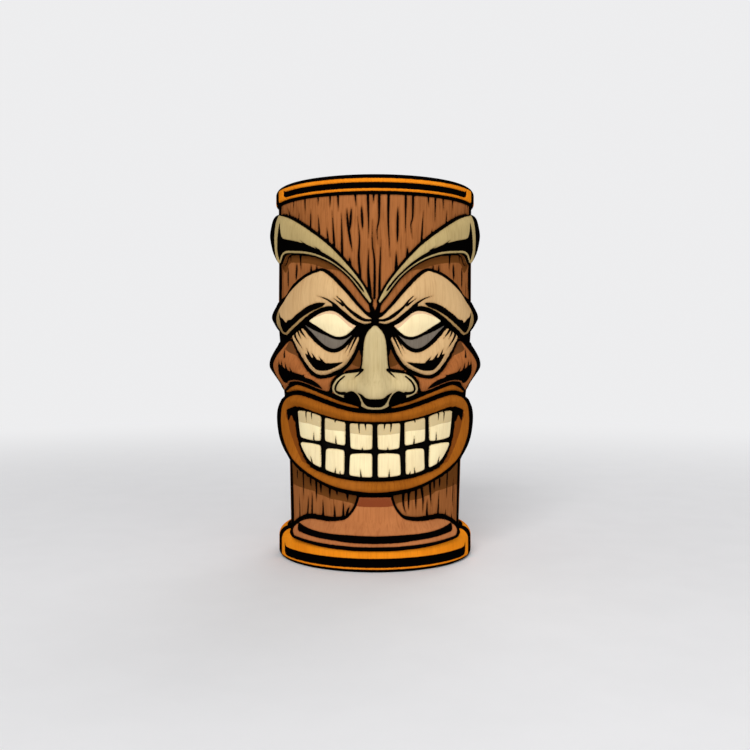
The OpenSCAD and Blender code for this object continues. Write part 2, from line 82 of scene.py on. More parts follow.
def rolled(girth, z, r):
    """Points in metres from girth, height and radius."""
    turn = np.asarray(girth) / GIRTH_R
    return np.stack([r * np.sin(turn), -r * np.cos(turn), z], 1) * MM


def spline(points, closed=True, step=0.4):
    """Smooth curve through points, resampled about every step."""
    p = np.asarray(points, float)
    n = len(p)
    out = []
    for i in range(n if closed else n - 1):
        a, b, c, d = (p[(i + k) % n] if closed else p[min(max(i + k, 0), n - 1)] for k in (-1, 0, 1, 2))
        parts = max(1, math.ceil(np.linalg.norm(c - b) / step))
        t = (np.arange(parts) / parts)[:, None]
        out.append(b + 0.5 * t * (c - a + t * (2 * a - 5 * b + 4 * c - d + t * (3 * (b - c) + d - a))))
    if not closed:
        out.append(p[-1:])
    return np.concatenate(out)


def signed_distance(points, loops):
    """Distance of points from closed outlines, positive inside."""
    x, y = np.asarray(points, float).T
    best = np.full(len(x), np.inf)
    inside = np.zeros(len(x), bool)
    for line in loops:
        for (ax, ay), (bx, by) in zip(line, np.roll(line, -1, 0)):
            dx, dy = bx - ax, by - ay
            t = np.clip(((x - ax) * dx + (y - ay) * dy) / (dx * dx + dy * dy + 1e-12), 0, 1)
            best = np.minimum(best, (x - ax - t * dx) ** 2 + (y - ay - t * dy) ** 2)
            if ay != by:
                inside ^= ((ay > y) != (by > y)) & (x < dx * (y - ay) / dy + ax)
    best = np.sqrt(best)
    return np.where(inside, best, -best)


def blank(points):
    """Ink or painted shade distances of points without a mark."""
    return np.full(len(points), NO_MARK)


def area(*points):
    """A black or shaded area with a smooth closed outline."""
    outline = spline(points, step=0.5)
    return lambda p: signed_distance(p, [outline])


def outside(*points):
    """Everything but the area within a smooth closed outline."""
    inner = area(*points)
    return lambda p: -inner(p)


def beyond(*border):
    """The outer end of a piece: all that lies past a border drawn from its upper end down."""
    far = 75
    return area(*border, (far, border[-1][1]), (far, border[0][1]))


def swept(line, half):
    """The area within half of a line, where half changes along it."""
    halo = 1.5
    reach = max(half) + halo
    low, high = line.min(0) - reach, line.max(0) + reach

    def distance(p):
        near = np.flatnonzero(((p > low) & (p < high)).all(1))
        x, y = p[near].T
        best = blank(near)
        for (ax, ay), (bx, by), first, last in zip(line[:-1], line[1:], half[:-1], half[1:]):
            dx, dy = bx - ax, by - ay
            t = np.clip(((x - ax) * dx + (y - ay) * dy) / (dx * dx + dy * dy + 1e-12), 0, 1)
            best = np.maximum(best, first + t * (last - first) - np.hypot(x - ax - t * dx, y - ay - t * dy))
        found = blank(p)
        found[near] = best
        return found
    return distance


def shares(line):
    """How far along a line its points are, from 0 to 1."""
    along = np.concatenate([[0], np.cumsum(np.linalg.norm(np.diff(line, axis=0), axis=1))])
    return along / along[-1]


def stroke(half_start, half_end, *points):
    """A cut line that runs through points and changes its half width from start to end."""
    line = spline(points, closed=False, step=0.7)
    return swept(line, half_start + (half_end - half_start) * shares(line))


def crack(kind, *points, half=0.5):
    """A crack in the wood, from its upper end down: loose ones are pointed at both ends, hung and standing
    ones run on under the edge they meet."""
    points = list(points)
    run_on = 2
    if kind == "hung":
        points.insert(0, (points[0][0], points[0][1] + run_on))
    if kind == "standing":
        points.append((points[-1][0], points[-1][1] - run_on))
    line = spline(points, closed=False, step=0.8)
    t = shares(line)
    taper = {"hung": 1 - t, "standing": t, "loose": 3.2 * t * (1 - t)}[kind]
    return swept(line, half * np.minimum(1, 1.25 * taper ** 0.75))


def union(marks, points, start):
    """The greatest of start and the marks' distances."""
    best = np.asarray(start, float)
    for mark in marks:
        best = np.maximum(best, mark(points))
    return best


def ramp(value, low, high):
    """Smooth step from 0 at low to 1 at high."""
    t = np.clip((np.asarray(value, float) - low) / (high - low), 0, 1)
    return t * t * (3 - 2 * t)


# Meshes

def placed(name, data):
    """A new object in the scene."""
    made = bpy.data.objects.new(name, data)
    bpy.context.scene.collection.objects.link(made)
    return made


def make_piece(name, points, faces, layers, material, nodes, body="mug", sharp=48):
    """A mesh piece with its layers of per-point values, on its body and in place of its nodes."""
    mesh = bpy.data.meshes.new(name)
    mesh.from_pydata(np.asarray(points).tolist(), [], faces)
    for key, values in layers.items():
        values = np.asarray(values, np.float32)
        if values.ndim == 2:
            mesh.attributes.new(key, "FLOAT_VECTOR", "POINT").data.foreach_set("vector", values.ravel())
        else:
            mesh.attributes.new(key, "FLOAT", "POINT").data.foreach_set("value", values)
    mesh.polygons.foreach_set("use_smooth", np.ones(len(mesh.polygons), bool))
    mesh.set_sharp_from_angle(angle=math.radians(sharp))
    mesh.materials.append(material)
    mesh.validate()
    piece = placed(name, mesh)
    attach(piece, body)
    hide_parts(*nodes)


def boundary_loops(faces):
    """Closed chains of the edges that only one face uses."""
    edges = {}
    for f in faces:
        for a, b in zip(f, f[1:] + f[:1]):
            edges[(a, b)] = True
    following = {a: b for a, b in edges if (b, a) not in edges}
    loops = []
    while following:
        start, here = next(iter(following.items()))
        loop = [start]
        del following[start]
        while here != start:
            loop.append(here)
            here = following.pop(here)
        loops.append(loop)
    return sorted(loops, key=len, reverse=True)


def cad_skin(node):
    """The outer skin of a CAD node on the unrolled mug: points and triangles."""
    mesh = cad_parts[node].data
    co = np.empty(len(mesh.vertices) * 3)
    mesh.vertices.foreach_get("co", co)
    co = co.reshape(-1, 3)
    weld, least_outward = 0.01 * MM, 0.03
    _, first, index = np.unique(np.round(co / weld).astype(np.int64), axis=0, return_index=True,
                                return_inverse=True)
    points = unrolled(co[first])
    mesh.calc_loop_triangles()
    tris = np.empty(len(mesh.loop_triangles) * 3, np.int64)
    mesh.loop_triangles.foreach_get("vertices", tris)
    tris = index.ravel()[tris.reshape(-1, 3)]
    a, b, c = (points[tris[:, k]] for k in range(3))
    normal = np.cross(b - a, c - a)
    outward = normal[:, 2] / (np.linalg.norm(normal, axis=1) + 1e-12)
    return points, tris[outward > least_outward].tolist()


def smooth_outline(points, soften, step=0.4):
    """A CAD outline as a smooth closed curve whose sharp corners stay, then softened by a small radius."""
    ahead = np.roll(points, -1, 0) - points
    behind = points - np.roll(points, 1, 0)
    turning = np.abs(np.arctan2(behind[:, 0] * ahead[:, 1] - behind[:, 1] * ahead[:, 0],
                                (behind * ahead).sum(1)))
    sharp_turn = math.radians(50)
    corners = np.flatnonzero(turning > sharp_turn)
    if len(corners):
        spans = []
        for a, b in zip(corners, np.append(corners[1:], corners[0] + len(points))):
            span = points[np.arange(a, b + 1) % len(points)]
            spans.append(spline(span, closed=False, step=step)[:-1])
        line = np.concatenate(spans)
    else:
        line = spline(points, step=step)
    reach = max(1, round(soften / step * 3))
    weights = np.exp(-0.5 * (np.arange(-reach, reach + 1) * step / soften) ** 2)
    weights /= weights.sum()
    return sum(w * np.roll(line, k, 0) for w, k in zip(weights, range(-reach, reach + 1)))


def inner_points(loops, spacing, rings):
    """Points inside the outlines: rows at set distances from the edge, then an even net."""
    found = []
    for line in loops:
        along = np.roll(line, -1, 0) - np.roll(line, 1, 0)
        across = np.stack([-along[:, 1], along[:, 0]], 1)
        across /= np.linalg.norm(across, axis=1)[:, None] + 1e-9
        for depth in rings:
            row = line + across * depth
            found.append(row[signed_distance(row, loops) > 0.93 * depth])
    low = np.min([line.min(0) for line in loops], 0)
    high = np.max([line.max(0) for line in loops], 0)
    rise = spacing * math.sqrt(3) / 2
    net = [(low[0] + spacing * (i + 0.5 * (j % 2)), low[1] + rise * j)
           for j in range(int((high[1] - low[1]) / rise) + 1)
           for i in range(int((high[0] - low[0]) / spacing) + 1)]
    net = np.array(net)
    least = (rings[-1] if len(rings) else 0) + 0.6 * spacing
    found.append(net[signed_distance(net, loops) > least])
    return np.concatenate(found)


def triangulated(loops, inside):
    """Triangles that fill the outlines and use the inside points."""
    points = [Vector(p) for line in loops for p in line] + [Vector(p) for p in inside]
    edges, first = [], 0
    for line in loops:
        edges += [(first + i, first + (i + 1) % len(line)) for i in range(len(line))]
        first += len(line)
    made, _, faces, _, _, _ = delaunay_2d_cdt(points, edges, [], 0, 1e-5)
    made = np.array([tuple(p) for p in made])
    faces = np.array(faces)
    a, b, c = (made[faces[:, k]] for k in range(3))
    turned = (b - a)[:, 0] * (c - a)[:, 1] - (b - a)[:, 1] * (c - a)[:, 0]
    faces[turned < 0] = faces[turned < 0][:, ::-1]
    faces = faces[(signed_distance((a + b + c) / 3, loops) > 0) & (np.abs(turned) > 1e-7)]
    used, index = np.unique(faces.ravel(), return_inverse=True)
    return made[used], index.reshape(-1, 3).tolist()


def relaxed(values, faces, rounds):
    """Values averaged with their neighbours' values, along the edge for points on the edge."""
    faces = np.array(faces)
    pairs = np.concatenate([faces[:, [0, 1]], faces[:, [1, 2]], faces[:, [2, 0]]])
    edge = np.array([(a, b) for loop in boundary_loops(faces.tolist()) for a, b in zip(loop, loop[1:] + loop[:1])])
    on_edge = np.zeros(len(values), bool)
    on_edge[edge.ravel()] = True
    pairs = np.concatenate([pairs[~on_edge[pairs[:, 0]]], pairs[~on_edge[pairs[:, 1]]][:, ::-1],
                            edge, edge[:, ::-1]])
    count = np.bincount(pairs[:, 0], minlength=len(values))
    own, shared = 0.4, 0.6
    for _ in range(rounds):
        total = np.bincount(pairs[:, 0], weights=values[pairs[:, 1]], minlength=len(values))
        values = own * values + shared * total / count
    return values


outlines = {}


def facing_up(points, loops):
    """1 where the nearest edge is above a point, -1 where it is below."""
    reach = 0.05
    step = (0, reach)
    return (signed_distance(points - step, loops) - signed_distance(points + step, loops)) / (2 * reach)


def carved(node, paint, ink=(), lines=(), burnt=(), painted_shade=(), shaded_walls=(), margin=(0.45, 0.5), inset=None, soften=0.3,
           spacing=0.5, round_over=0.9, cut=0.4, smooth=22, back=GLUE, back_at=None):
    """A carved relief piece in place of a CAD node.

    Ink areas and lines are cut in and blackened, burnt areas are only blackened, and painted shade areas take the
    paint's shade colour. Most ink areas and some burnt areas are black painted shade. margin is the width of the
    black line along the upper and the lower edges. An inset keeps the ink areas off the edge by a width that depends
    on the girth. The walls are black, but shaded walls take the painted shade colour. The slot has the paint's name.
    """
    skin, tris = cad_skin(node)
    loops = [smooth_outline(skin[loop, :2], soften) for loop in boundary_loops(tris)]
    loops.sort(key=lambda line: -np.ptp(line[:, 0]))
    outlines[node] = loops
    edge_rows, rear_spacing, most_rounded = (0.12, 0.3, 0.55, 0.85), 3.0, 0.55
    flat, faces = triangulated(loops, inner_points(loops, spacing, edge_rows))
    tree = BVHTree.FromPolygons([Vector(p) for p in skin], tris)
    height = np.empty(len(flat))
    for i, (s, z) in enumerate(flat):
        hit = tree.ray_cast(Vector((s, z, 200)), Vector((0, 0, -1)))[0]
        if hit is None:
            hit = tree.find_nearest(Vector((s, z, log_at(z) + 2)))[0]
        height[i] = hit.z - log_at(z)
    height = relaxed(height, faces, smooth)
    edge = np.maximum(signed_distance(flat, loops), 0)
    fall = np.minimum(round_over, most_rounded * (height - back))
    near = np.clip(1 - edge / round_over, 0, 1)
    height -= fall * (1 - np.sqrt(np.maximum(0, 1 - near ** 2)))

    # Black and shade: cut marks first, then the burnt areas and the lines along the edges
    half = np.stack([np.abs(flat[:, 0]), flat[:, 1]], 1)
    marks = union(ink, half, blank(flat))
    if inset:
        marks = np.minimum(marks, edge - inset(half[:, 0]))
    marks = union(lines, half, marks)
    height -= cut * ramp(marks, -0.15, 0.5)
    marks = union(burnt, half, marks)
    rim = np.maximum(signed_distance(flat, loops[:1]), 0)
    near = rim < max(margin) + 1.5
    upper, lower = margin
    border = lower + (upper - lower) * ramp(facing_up(flat[near], loops[:1]), -0.7, 0.7)
    marks[near] = np.maximum(marks[near], border - rim[near])
    if len(loops) > 1:
        hole_line = 0.3
        marks = np.maximum(marks, hole_line - np.abs(signed_distance(flat, loops[1:])))
    # Painted shade: these areas take the paint's shade colour
    shade = union(painted_shade, half, blank(flat))

    # The back follows the log, and a wall joins it to the skin
    rear_at = back_at or (lambda z: log_at(z) + back)
    rims = boundary_loops(faces)
    rear_loops = [flat[loop] for loop in rims]
    rear, rear_faces = triangulated(rear_loops, inner_points(rear_loops, rear_spacing, ()))
    count = len(flat)
    place = {tuple(np.round(p, 4)): count + i for i, p in enumerate(rear)}
    faces = faces + [[count + i for i in f[::-1]] for f in rear_faces]
    for loop in rims:
        for a, b in zip(loop, loop[1:] + loop[:1]):
            low_a, low_b = (place[tuple(np.round(flat[k], 4))] for k in (a, b))
            faces.append([a, low_a, low_b, b])
    girth = np.concatenate([flat[:, 0], rear[:, 0]])
    z = np.concatenate([flat[:, 1], rear[:, 1]])
    r = np.concatenate([log_at(flat[:, 1]) + height, rear_at(rear[:, 1])])
    # Walls within these areas take the painted shade colour in place of black, and so do their edge points
    wall_shade = union(shaded_walls, np.stack([np.abs(girth), z], 1), blank(r)) > 0
    shade[wall_shade[:count] & (edge < 0.05)] = -NO_MARK
    layers = {"unrolled": np.stack([girth, z, r], 1),
              "ink": np.concatenate([marks, np.where(wall_shade[count:], NO_MARK, 1.0)]),
              "painted_shade": np.concatenate([shade, np.where(wall_shade[count:], -NO_MARK, NO_MARK)]),
              "edge": np.concatenate([edge, np.zeros(len(rear))])}
    make_piece(node + "_carved", rolled(girth, z, r), faces, layers, materials[paint], [node])


# Materials

def srgb(red, green, blue):
    """A colour given in the usual 0 to 255 steps, as Blender's linear colour."""
    def linear(v):
        v /= 255
        return v / 12.92 if v <= 0.04045 else ((v + 0.055) / 1.055) ** 2.4
    return (linear(red), linear(green), linear(blue), 1.0)


class Nodes:
    """The node tree of a material or a world, with short calls for the nodes used here."""

    def __init__(self, owner, shader="Principled BSDF"):
        owner.use_nodes = True
        self.owner = owner
        self.tree = owner.node_tree
        self.shader = self.tree.nodes[shader]

    def add(self, kind, inputs=(), **settings):
        node = self.tree.nodes.new("ShaderNode" + kind)
        for key, value in settings.items():
            setattr(node, key, value)
        for key, value in dict(inputs).items():
            self.put(node.inputs[key], value)
        return node

    def put(self, socket, value):
        if isinstance(value, bpy.types.NodeSocket):
            self.tree.links.new(value, socket)
        else:
            socket.default_value = value

    def layer(self, name):
        node = self.add("Attribute", attribute_name=name)
        return node.outputs["Vector"] if name == "unrolled" else node.outputs["Fac"]

    def math(self, operation, a, b):
        node = self.add("Math", operation=operation)
        self.put(node.inputs[0], a)
        self.put(node.inputs[1], b)
        return node.outputs[0]

    def span(self, value, low, high, to_low=0.0, to_high=1.0):
        node = self.add("MapRange", {"Value": value, "From Min": low, "From Max": high,
                                     "To Min": to_low, "To Max": to_high}, interpolation_type="SMOOTHSTEP")
        return node.outputs["Result"]

    def noise(self, vector, scale, detail=3.0, rough=0.55, distortion=0.0):
        stretched = self.add("VectorMath", {0: vector, 1: scale}, operation="MULTIPLY").outputs[0]
        node = self.add("TexNoise", {"Vector": stretched, "Scale": 1.0, "Detail": detail,
                                     "Roughness": rough, "Distortion": distortion})
        return node.outputs["Fac"]

    def mix(self, factor, a, b):
        node = self.add("Mix", data_type="RGBA")
        self.put(node.inputs["Factor"], factor)
        self.put(node.inputs["A"], a)
        self.put(node.inputs["B"], b)
        return node.outputs["Result"]

    def finish(self, colour, roughness, height, bump, distance=0.0004, **plain):
        self.put(self.shader.inputs["Base Color"], colour)
        self.put(self.shader.inputs["Roughness"], roughness)
        node = self.add("Bump", {"Strength": bump, "Distance": distance, "Height": height})
        self.put(self.shader.inputs["Normal"], node.outputs["Normal"])
        for key, value in plain.items():
            self.shader.inputs[key.replace("_", " ")].default_value = value
        return self.owner


INK = srgb(4, 3, 3)


def carved_wood(name, colour, dark, shade, grain, halo, rough, seed):
    """Painted or tinted carved wood: upright grain, uneven colour, worn edges, burnt-in black lines and black painted
    shade, and a painted shade colour where one is given.
    """
    n = Nodes(bpy.data.materials.new(name))
    colour, dark = srgb(*colour), srgb(*dark)
    place = n.add("VectorMath", {0: n.layer("unrolled"), 1: (seed, seed * 1.7, seed * 0.6)},
                  operation="ADD").outputs[0]
    fibre = n.noise(place, (1.6, 0.07, 0.5), 4.0, 0.6, 0.6)
    fine = n.noise(place, (6.0, 0.25, 2.0), 2.0, 0.5)
    patch = n.noise(place, (0.09, 0.05, 0.09), 2.0, 0.5)
    speck = n.noise(place, (3.2, 3.2, 3.2), 2.0, 0.6)
    tint = n.mix(n.span(fibre, 0.42, 0.72, 0.0, grain), colour, dark)
    tint = n.mix(n.span(fine, 0.52, 0.75, 0.0, 0.35 * grain), tint, dark)
    tint = n.mix(n.span(patch, 0.45, 0.75, 0.0, 0.25), tint, dark)
    pale = tuple(min(1.0, c * 1.18 + 0.01) for c in colour[:3]) + (1.0,)
    tint = n.mix(n.span(patch, 0.5, 0.25, 0.0, 0.35), tint, pale)
    # Painted shade: the paint's shade colour where the painted shade layer is positive, with a speckled border
    if shade:
        soft = 0.12
        painted_shade = n.math("ADD", n.layer("painted_shade"), n.span(speck, 0.2, 0.8, -soft, soft))
        tint = n.mix(n.span(painted_shade, -soft, soft), tint, srgb(*shade))
    ink = n.layer("ink")
    # Wear: the paint is rubbed thin in spots just inside the black edge
    worn = n.math("MULTIPLY", n.span(n.layer("edge"), 2.2, 0.9), n.span(speck, 0.58, 0.72))
    tint = n.mix(n.math("MULTIPLY", worn, 0.35), tint, pale)
    # Burnt halo next to the black, then the black itself with a slightly uneven border
    wobble = n.math("ADD", ink, n.span(speck, 0.25, 0.75, -0.09, 0.09))
    tint = n.mix(n.span(wobble, -0.75, -0.05, 0.0, halo), tint, dark)
    black = n.span(wobble, -0.07, 0.07)
    tint = n.mix(black, tint, INK)
    roughness = n.math("ADD", n.span(fibre, 0.3, 0.8, rough - 0.06, rough + 0.1), n.math("MULTIPLY", black, 0.12))
    height = n.math("ADD", n.math("MULTIPLY", fibre, 0.7), n.math("MULTIPLY", fine, 0.3))
    return n.finish(tint, roughness, height, 0.28, Specular_IOR_Level=0.0)


def bare_wood(name, colour, dark):
    """Plain turned wood for the hidden and under sides."""
    n = Nodes(bpy.data.materials.new(name))
    place = n.add("TexCoord").outputs["Object"]
    rings = n.noise(place, (260.0, 260.0, 30.0), 4.0, 0.6, 0.8)
    fine = n.noise(place, (1500.0, 1500.0, 120.0), 2.0, 0.5)
    tint = n.mix(n.span(rings, 0.35, 0.7, 0.0, 0.7), colour, dark)
    tint = n.mix(n.span(fine, 0.55, 0.8, 0.0, 0.3), tint, dark)
    return n.finish(tint, n.span(rings, 0.3, 0.7, 0.55, 0.7), fine, 0.2, Specular_IOR_Level=0.3)


def spun_steel(name):
    """Brushed stainless steel: fine turning lines round the axis and faint smudges."""
    n = Nodes(bpy.data.materials.new(name))
    place = n.layer("unrolled")
    lines = n.noise(place, (0.01, 9.0, 9.0), 3.0, 0.7)
    smudge = n.noise(place, (0.08, 0.08, 0.08), 3.0, 0.5)
    tint = n.mix(n.span(lines, 0.3, 0.75, 0.0, 0.5), srgb(214, 214, 212), srgb(176, 177, 178))
    tint = n.mix(n.span(smudge, 0.5, 0.8, 0.0, 0.25), tint, srgb(160, 158, 152))
    roughness = n.math("ADD", n.span(lines, 0.3, 0.7, 0.22, 0.34), n.span(smudge, 0.5, 0.8, 0.0, 0.12))
    return n.finish(tint, roughness, lines, 0.12, 0.0001, Metallic=1.0, Anisotropic=0.5)


def seal_rubber(name):
    """Pale silicone with a faint mottle and dust."""
    n = Nodes(bpy.data.materials.new(name))
    place = n.add("TexCoord").outputs["Object"]
    mottle = n.noise(place, (900.0, 900.0, 900.0), 3.0, 0.6)
    dust = n.noise(place, (160.0, 160.0, 160.0), 2.0, 0.5)
    tint = n.mix(n.span(dust, 0.4, 0.75, 0.0, 0.6), srgb(146, 146, 140), srgb(178, 176, 168))
    return n.finish(tint, n.span(mottle, 0.3, 0.7, 0.5, 0.7), mottle, 0.15, 0.0002, Subsurface_Weight=0.05)


# Each paint's colour, its dark grain and its painted shade colour, how strong the grain and the burnt halo are, its
# roughness, and the seed of its grain
paints = {
    "log_wood": ((167, 103, 56), (112, 62, 28), (112, 66, 28), 0.6, 0.5, 0.56, 1.0),
    "orange_wood": ((244, 144, 27), (206, 104, 18), None, 0.4, 0.3, 0.42, 2.0),
    "horn_paint": ((189, 166, 114), (146, 122, 76), (112, 66, 28), 0.4, 0.35, 0.52, 3.0),
    "brow_paint": ((214, 177, 127), (176, 130, 80), (166, 136, 88), 0.4, 0.35, 0.52, 4.0),
    "cream_paint": ((251, 233, 186), (214, 184, 128), (210, 188, 142), 0.3, 0.3, 0.42, 5.0),
    "eye_paint": ((251, 233, 186), (220, 188, 136), (229, 190, 150), 0.2, 0.3, 0.4, 5.5),
    "shade_paint": ((122, 112, 100), (86, 78, 68), None, 0.4, 0.3, 0.5, 6.0),
    "nose_paint": ((205, 185, 138), (164, 140, 92), None, 0.4, 0.35, 0.5, 7.0),
    "cheek_stain": ((172, 104, 56), (116, 64, 30), (104, 64, 34), 0.5, 0.4, 0.52, 8.0),
    "lip_paint": ((164, 94, 26), (118, 60, 16), (122, 64, 20), 0.45, 0.4, 0.46, 9.0),
    "mouth_black": ((12, 10, 8), (5, 4, 4), None, 0.5, 0.0, 0.6, 10.0),
    "throat_paint": ((189, 119, 70), (140, 76, 40), (134, 66, 36), 0.4, 0.4, 0.5, 11.0),
}
materials = {name: carved_wood(name, *look) for name, look in paints.items()}
materials["plain_wood"] = bare_wood("plain_wood", srgb(206, 170, 116), srgb(160, 118, 68))
materials["liner_steel"] = spun_steel("liner_steel")
materials["seal"] = seal_rubber("seal")


# Face pieces

def upper_brow(side):
    # Painted shade: a black wedge along the brow's lower half, cut in a little, stands for its shaded underside
    shadow_wedge = area(
        (44.9, 143.1), (45.9, 139.9), (46.9, 135.8), (47.4, 132.4), (47.2, 129.7), (45.5, 126.5), (41, 127),
        (36, 126.5), (27, 125), (18, 121.5), (10.5, 115.5), (5, 109.5), (4.3, 113), (7.2, 117.3), (10.4, 120.8),
        (13.7, 123.9), (17.1, 126.5), (20.6, 128.7), (23.7, 130.4), (28.1, 132.4), (32.4, 133.8), (35.7, 134.7),
        (39.5, 135.5), (42.1, 136.3), (43.2, 137.8), (44, 140.4))
    nicks = [stroke(0.05, 0.4, (31.3, 134.4), (28.4, 132.2)), stroke(0.05, 0.4, (24.5, 131.4), (21.9, 129.4))]
    end = beyond(
        (46, 149), (47.7, 146.3), (48.6, 144.2), (49.3, 141), (50, 137), (50.2, 133.6), (50.2, 130.2), (48.7, 127),
        (47.1, 125.2), (46, 122))
    # Painted shade: the inner wall of the brow's tongue takes the shadow brown of the log beside it, not black
    shaded_tip_wall = area((39, 128), (44, 131), (48, 129.5), (48, 121), (39, 121))
    carved("upper_brow_" + side, "horn_paint", [shadow_wedge], nicks, [end], shaded_walls=[shaded_tip_wall],
           inset=lambda girth: 0.95 + 0.4 * ramp(girth, 12, 30), spacing=0.4)


def brow(side):
    # Painted shade: a black band along the brow's lower part stands for its shaded underside
    band = area(
        (45.3, 105.4), (43.4, 103.4), (41.4, 102.5), (39.5, 100.9), (38.2, 101.8), (35.6, 102.2), (33, 103.8),
        (30.6, 105.1), (27.4, 106.9), (24.4, 108), (22, 108.5), (19.2, 108.2), (21.1, 106.6), (23.6, 104),
        (26.9, 101.8), (30.5, 99.4), (34.4, 96.5), (38.3, 94.6), (42, 93.8), (45.2, 96.4), (45.3, 98.2), (44.6, 101),
        (45, 103.4))
    creases = [stroke(0.05, 0.65, (22.1, 111.2), (20.1, 110.5), (18.1, 109.6), (16.4, 108.4), (14.7, 107)),
               stroke(0.1, 0.5, (15.3, 110), (13.7, 108.7), (11.7, 107.1)),
               stroke(0.2, 0.75, (14.1, 110.8), (12.2, 108.8), (10.5, 106.5), (8.5, 104.5), (6.5, 102.8)),
               stroke(0.75, 0.5, (6.5, 102.8), (5, 101.8), (3.5, 101.2), (1.5, 101.2))]
    # Painted shade: the brow's inner lower end is black, where it overhangs the eye
    lid_shadow = area(
        (16.4, 107.4), (15, 107.9), (13.8, 107), (12.8, 105.9), (11.4, 104.7), (10, 103.5), (8, 101.7), (6, 100.5),
        (4, 99.7), (2.6, 99.4), (1.3, 99.6), (0.3, 97.8), (5, 95), (10, 98), (15, 103.5))
    # Painted shade: the strip below the black band takes the paint's darker shade colour
    underside_shade = area(
        (20, 106.9), (23.6, 107.2), (30, 103.4), (36, 100), (40, 98.8), (44.6, 98.9), (44.4, 101.5), (45.4, 105),
        (47, 107.5), (52, 108), (60, 104), (54, 94), (42, 93), (34, 97), (26, 102))
    end = beyond(
        (18, 123), (22, 121.1), (24.9, 120.3), (28.8, 118.7), (33.2, 116), (38.6, 112.4), (42, 109.7), (45.6, 107),
        (48.4, 103.3), (49.2, 100.2), (48.6, 97.6), (47.2, 95), (45, 91))
    carved("brow_" + side, "brow_paint", [band], creases, [end, lid_shadow], [underside_shade],
           inset=lambda girth: 0.75 + 0.65 * ramp(girth, 22, 34), spacing=0.4)


def eye(side):
    # Painted shadow: the eye's upper part takes a darker shade colour, as if shaded by the brow
    lid_shadow = area(
        (29, 102), (23, 103.1), (19.6, 104), (16.2, 103.7), (14.3, 102.8), (11.5, 100.3), (9.4, 98.4), (7, 97.7),
        (5, 100), (15, 108), (28, 106))
    carved("eye_" + side, "eye_paint", painted_shade=[lid_shadow], margin=(0.3, 0.3), spacing=0.45, round_over=0.6)


def eye_shade(side):
    carved("eye_shade_" + side, "shade_paint", margin=(0.25, 0.25), round_over=0.4)


def eye_bag(side):
    # Painted shade: a black wedge on the bag's lower part with jagged strokes at its top, and black hatching strokes
    # at its upper corners
    shadow_wedge = area(
        (29.2, 88), (28.1, 85.5), (26.2, 83.1), (24.6, 81.5), (22.4, 81), (19.6, 81.1), (16.9, 81.9), (14.2, 83.3),
        (12.4, 84.5), (14.9, 84.3), (17.8, 84.1), (19.9, 84.2), (22.1, 85.2), (23.6, 85.6), (25.5, 86.3),
        (27.1, 86.9))
    jags = [stroke(0.7, 0.05, (26.9, 86.3), (28.5, 90.1)), stroke(0.7, 0.05, (24.3, 85.3), (26.2, 88.4)),
            stroke(0.6, 0.05, (20.7, 84.2), (22.9, 86.8))]
    hatching = [stroke(0.7, 0.05, (33.6, 98.7), (28.8, 94)), stroke(0.6, 0.1, (34.6, 98.1), (31.3, 94)),
                stroke(0.65, 0.05, (35.8, 96.3), (30.1, 89.5)), stroke(0.6, 0.05, (7.9, 95.8), (11.6, 88.2)),
                stroke(0.6, 0.05, (6.7, 95.6), (10.5, 87))]
    carved("eye_bag_" + side, "brow_paint", [shadow_wedge], jags + hatching, margin=(0.35, 0.4), spacing=0.38)


def nose():
    wing = stroke(0.35, 0.7, (11.1, 78.9), (13.1, 76.8), (14.5, 74.3), (14.4, 72.9), (12.4, 72.1), (11, 72.2))
    crease = stroke(0.6, 0.05, (4.6, 81.5), (6.8, 79.1), (7.9, 77.9))
    nostril = area(
        (10.9, 72), (9.2, 73), (7.9, 73), (6.5, 71.7), (5.45, 69.7), (5.1, 67.8), (6.4, 65.6), (8.1, 67),
        (11.5, 68.6), (11.8, 70.4))
    # Painted shade: the underside of the nose tip is black
    under = area(
        (6.1, 72.4), (5.15, 70.8), (4.2, 68.7), (2.7, 67), (0, 66.6), (-2.7, 67), (-3, 70.6), (0, 70.2), (1.6, 70.2),
        (3, 70.6), (4.2, 71.7))
    carved("nose", "nose_paint", [nostril, under], [wing, crease], margin=(0.45, 0.3), spacing=0.4, smooth=10)


def cheek(side):
    # Painted shade: a black wedge along the cheek's lower part, with spikes at its top edge
    shadow_wedge = area(
        (45, 83.4), (46.1, 81.8), (47.4, 80), (48.1, 78.4), (48.2, 76.1), (47.2, 75.5), (46.2, 75.5), (43, 75.6),
        (39.5, 75.6), (34.1, 75.6), (30.5, 75), (27.3, 74.2), (24.3, 73.2), (22.2, 72.8), (23.4, 75.2), (26.6, 77.2),
        (29.6, 78.2), (30.7, 79.1), (34.2, 80), (36.8, 80.6), (38.4, 80.8), (40.8, 81.9), (43.2, 83.2))
    spikes = [stroke(0.8, 0.05, (44.6, 82.4), (43.9, 85)), stroke(0.8, 0.05, (42.4, 82), (41.9, 85.2)),
              stroke(0.9, 0.05, (39.8, 80.8), (39.5, 84.1)), stroke(0.8, 0.05, (36.6, 79.8), (37.2, 82.2)),
              stroke(0.6, 0.05, (31.6, 78.6), (30.1, 79.3)), stroke(0.1, 0.5, (41.8, 90), (40.3, 86.6))]
    # Painted shadow: the cheek's upper inner part takes a darker shade colour below the brow
    brow_shadow = area((41.6, 91), (41.3, 89.9), (38.3, 88.4), (35.2, 86.9), (32, 84), (32, 92), (38, 97), (41.8, 97))
    end = beyond(
        (41.8, 96), (43, 92), (44.2, 89.6), (46.6, 87), (50.2, 83.4), (51.4, 79.4), (52, 76), (52.2, 73.1),
        (52.5, 69))
    carved("cheek_" + side, "cheek_stain", [shadow_wedge], spikes, [end], [brow_shadow], margin=(0.4, 0.35),
           inset=lambda girth: 0.85, spacing=0.4)


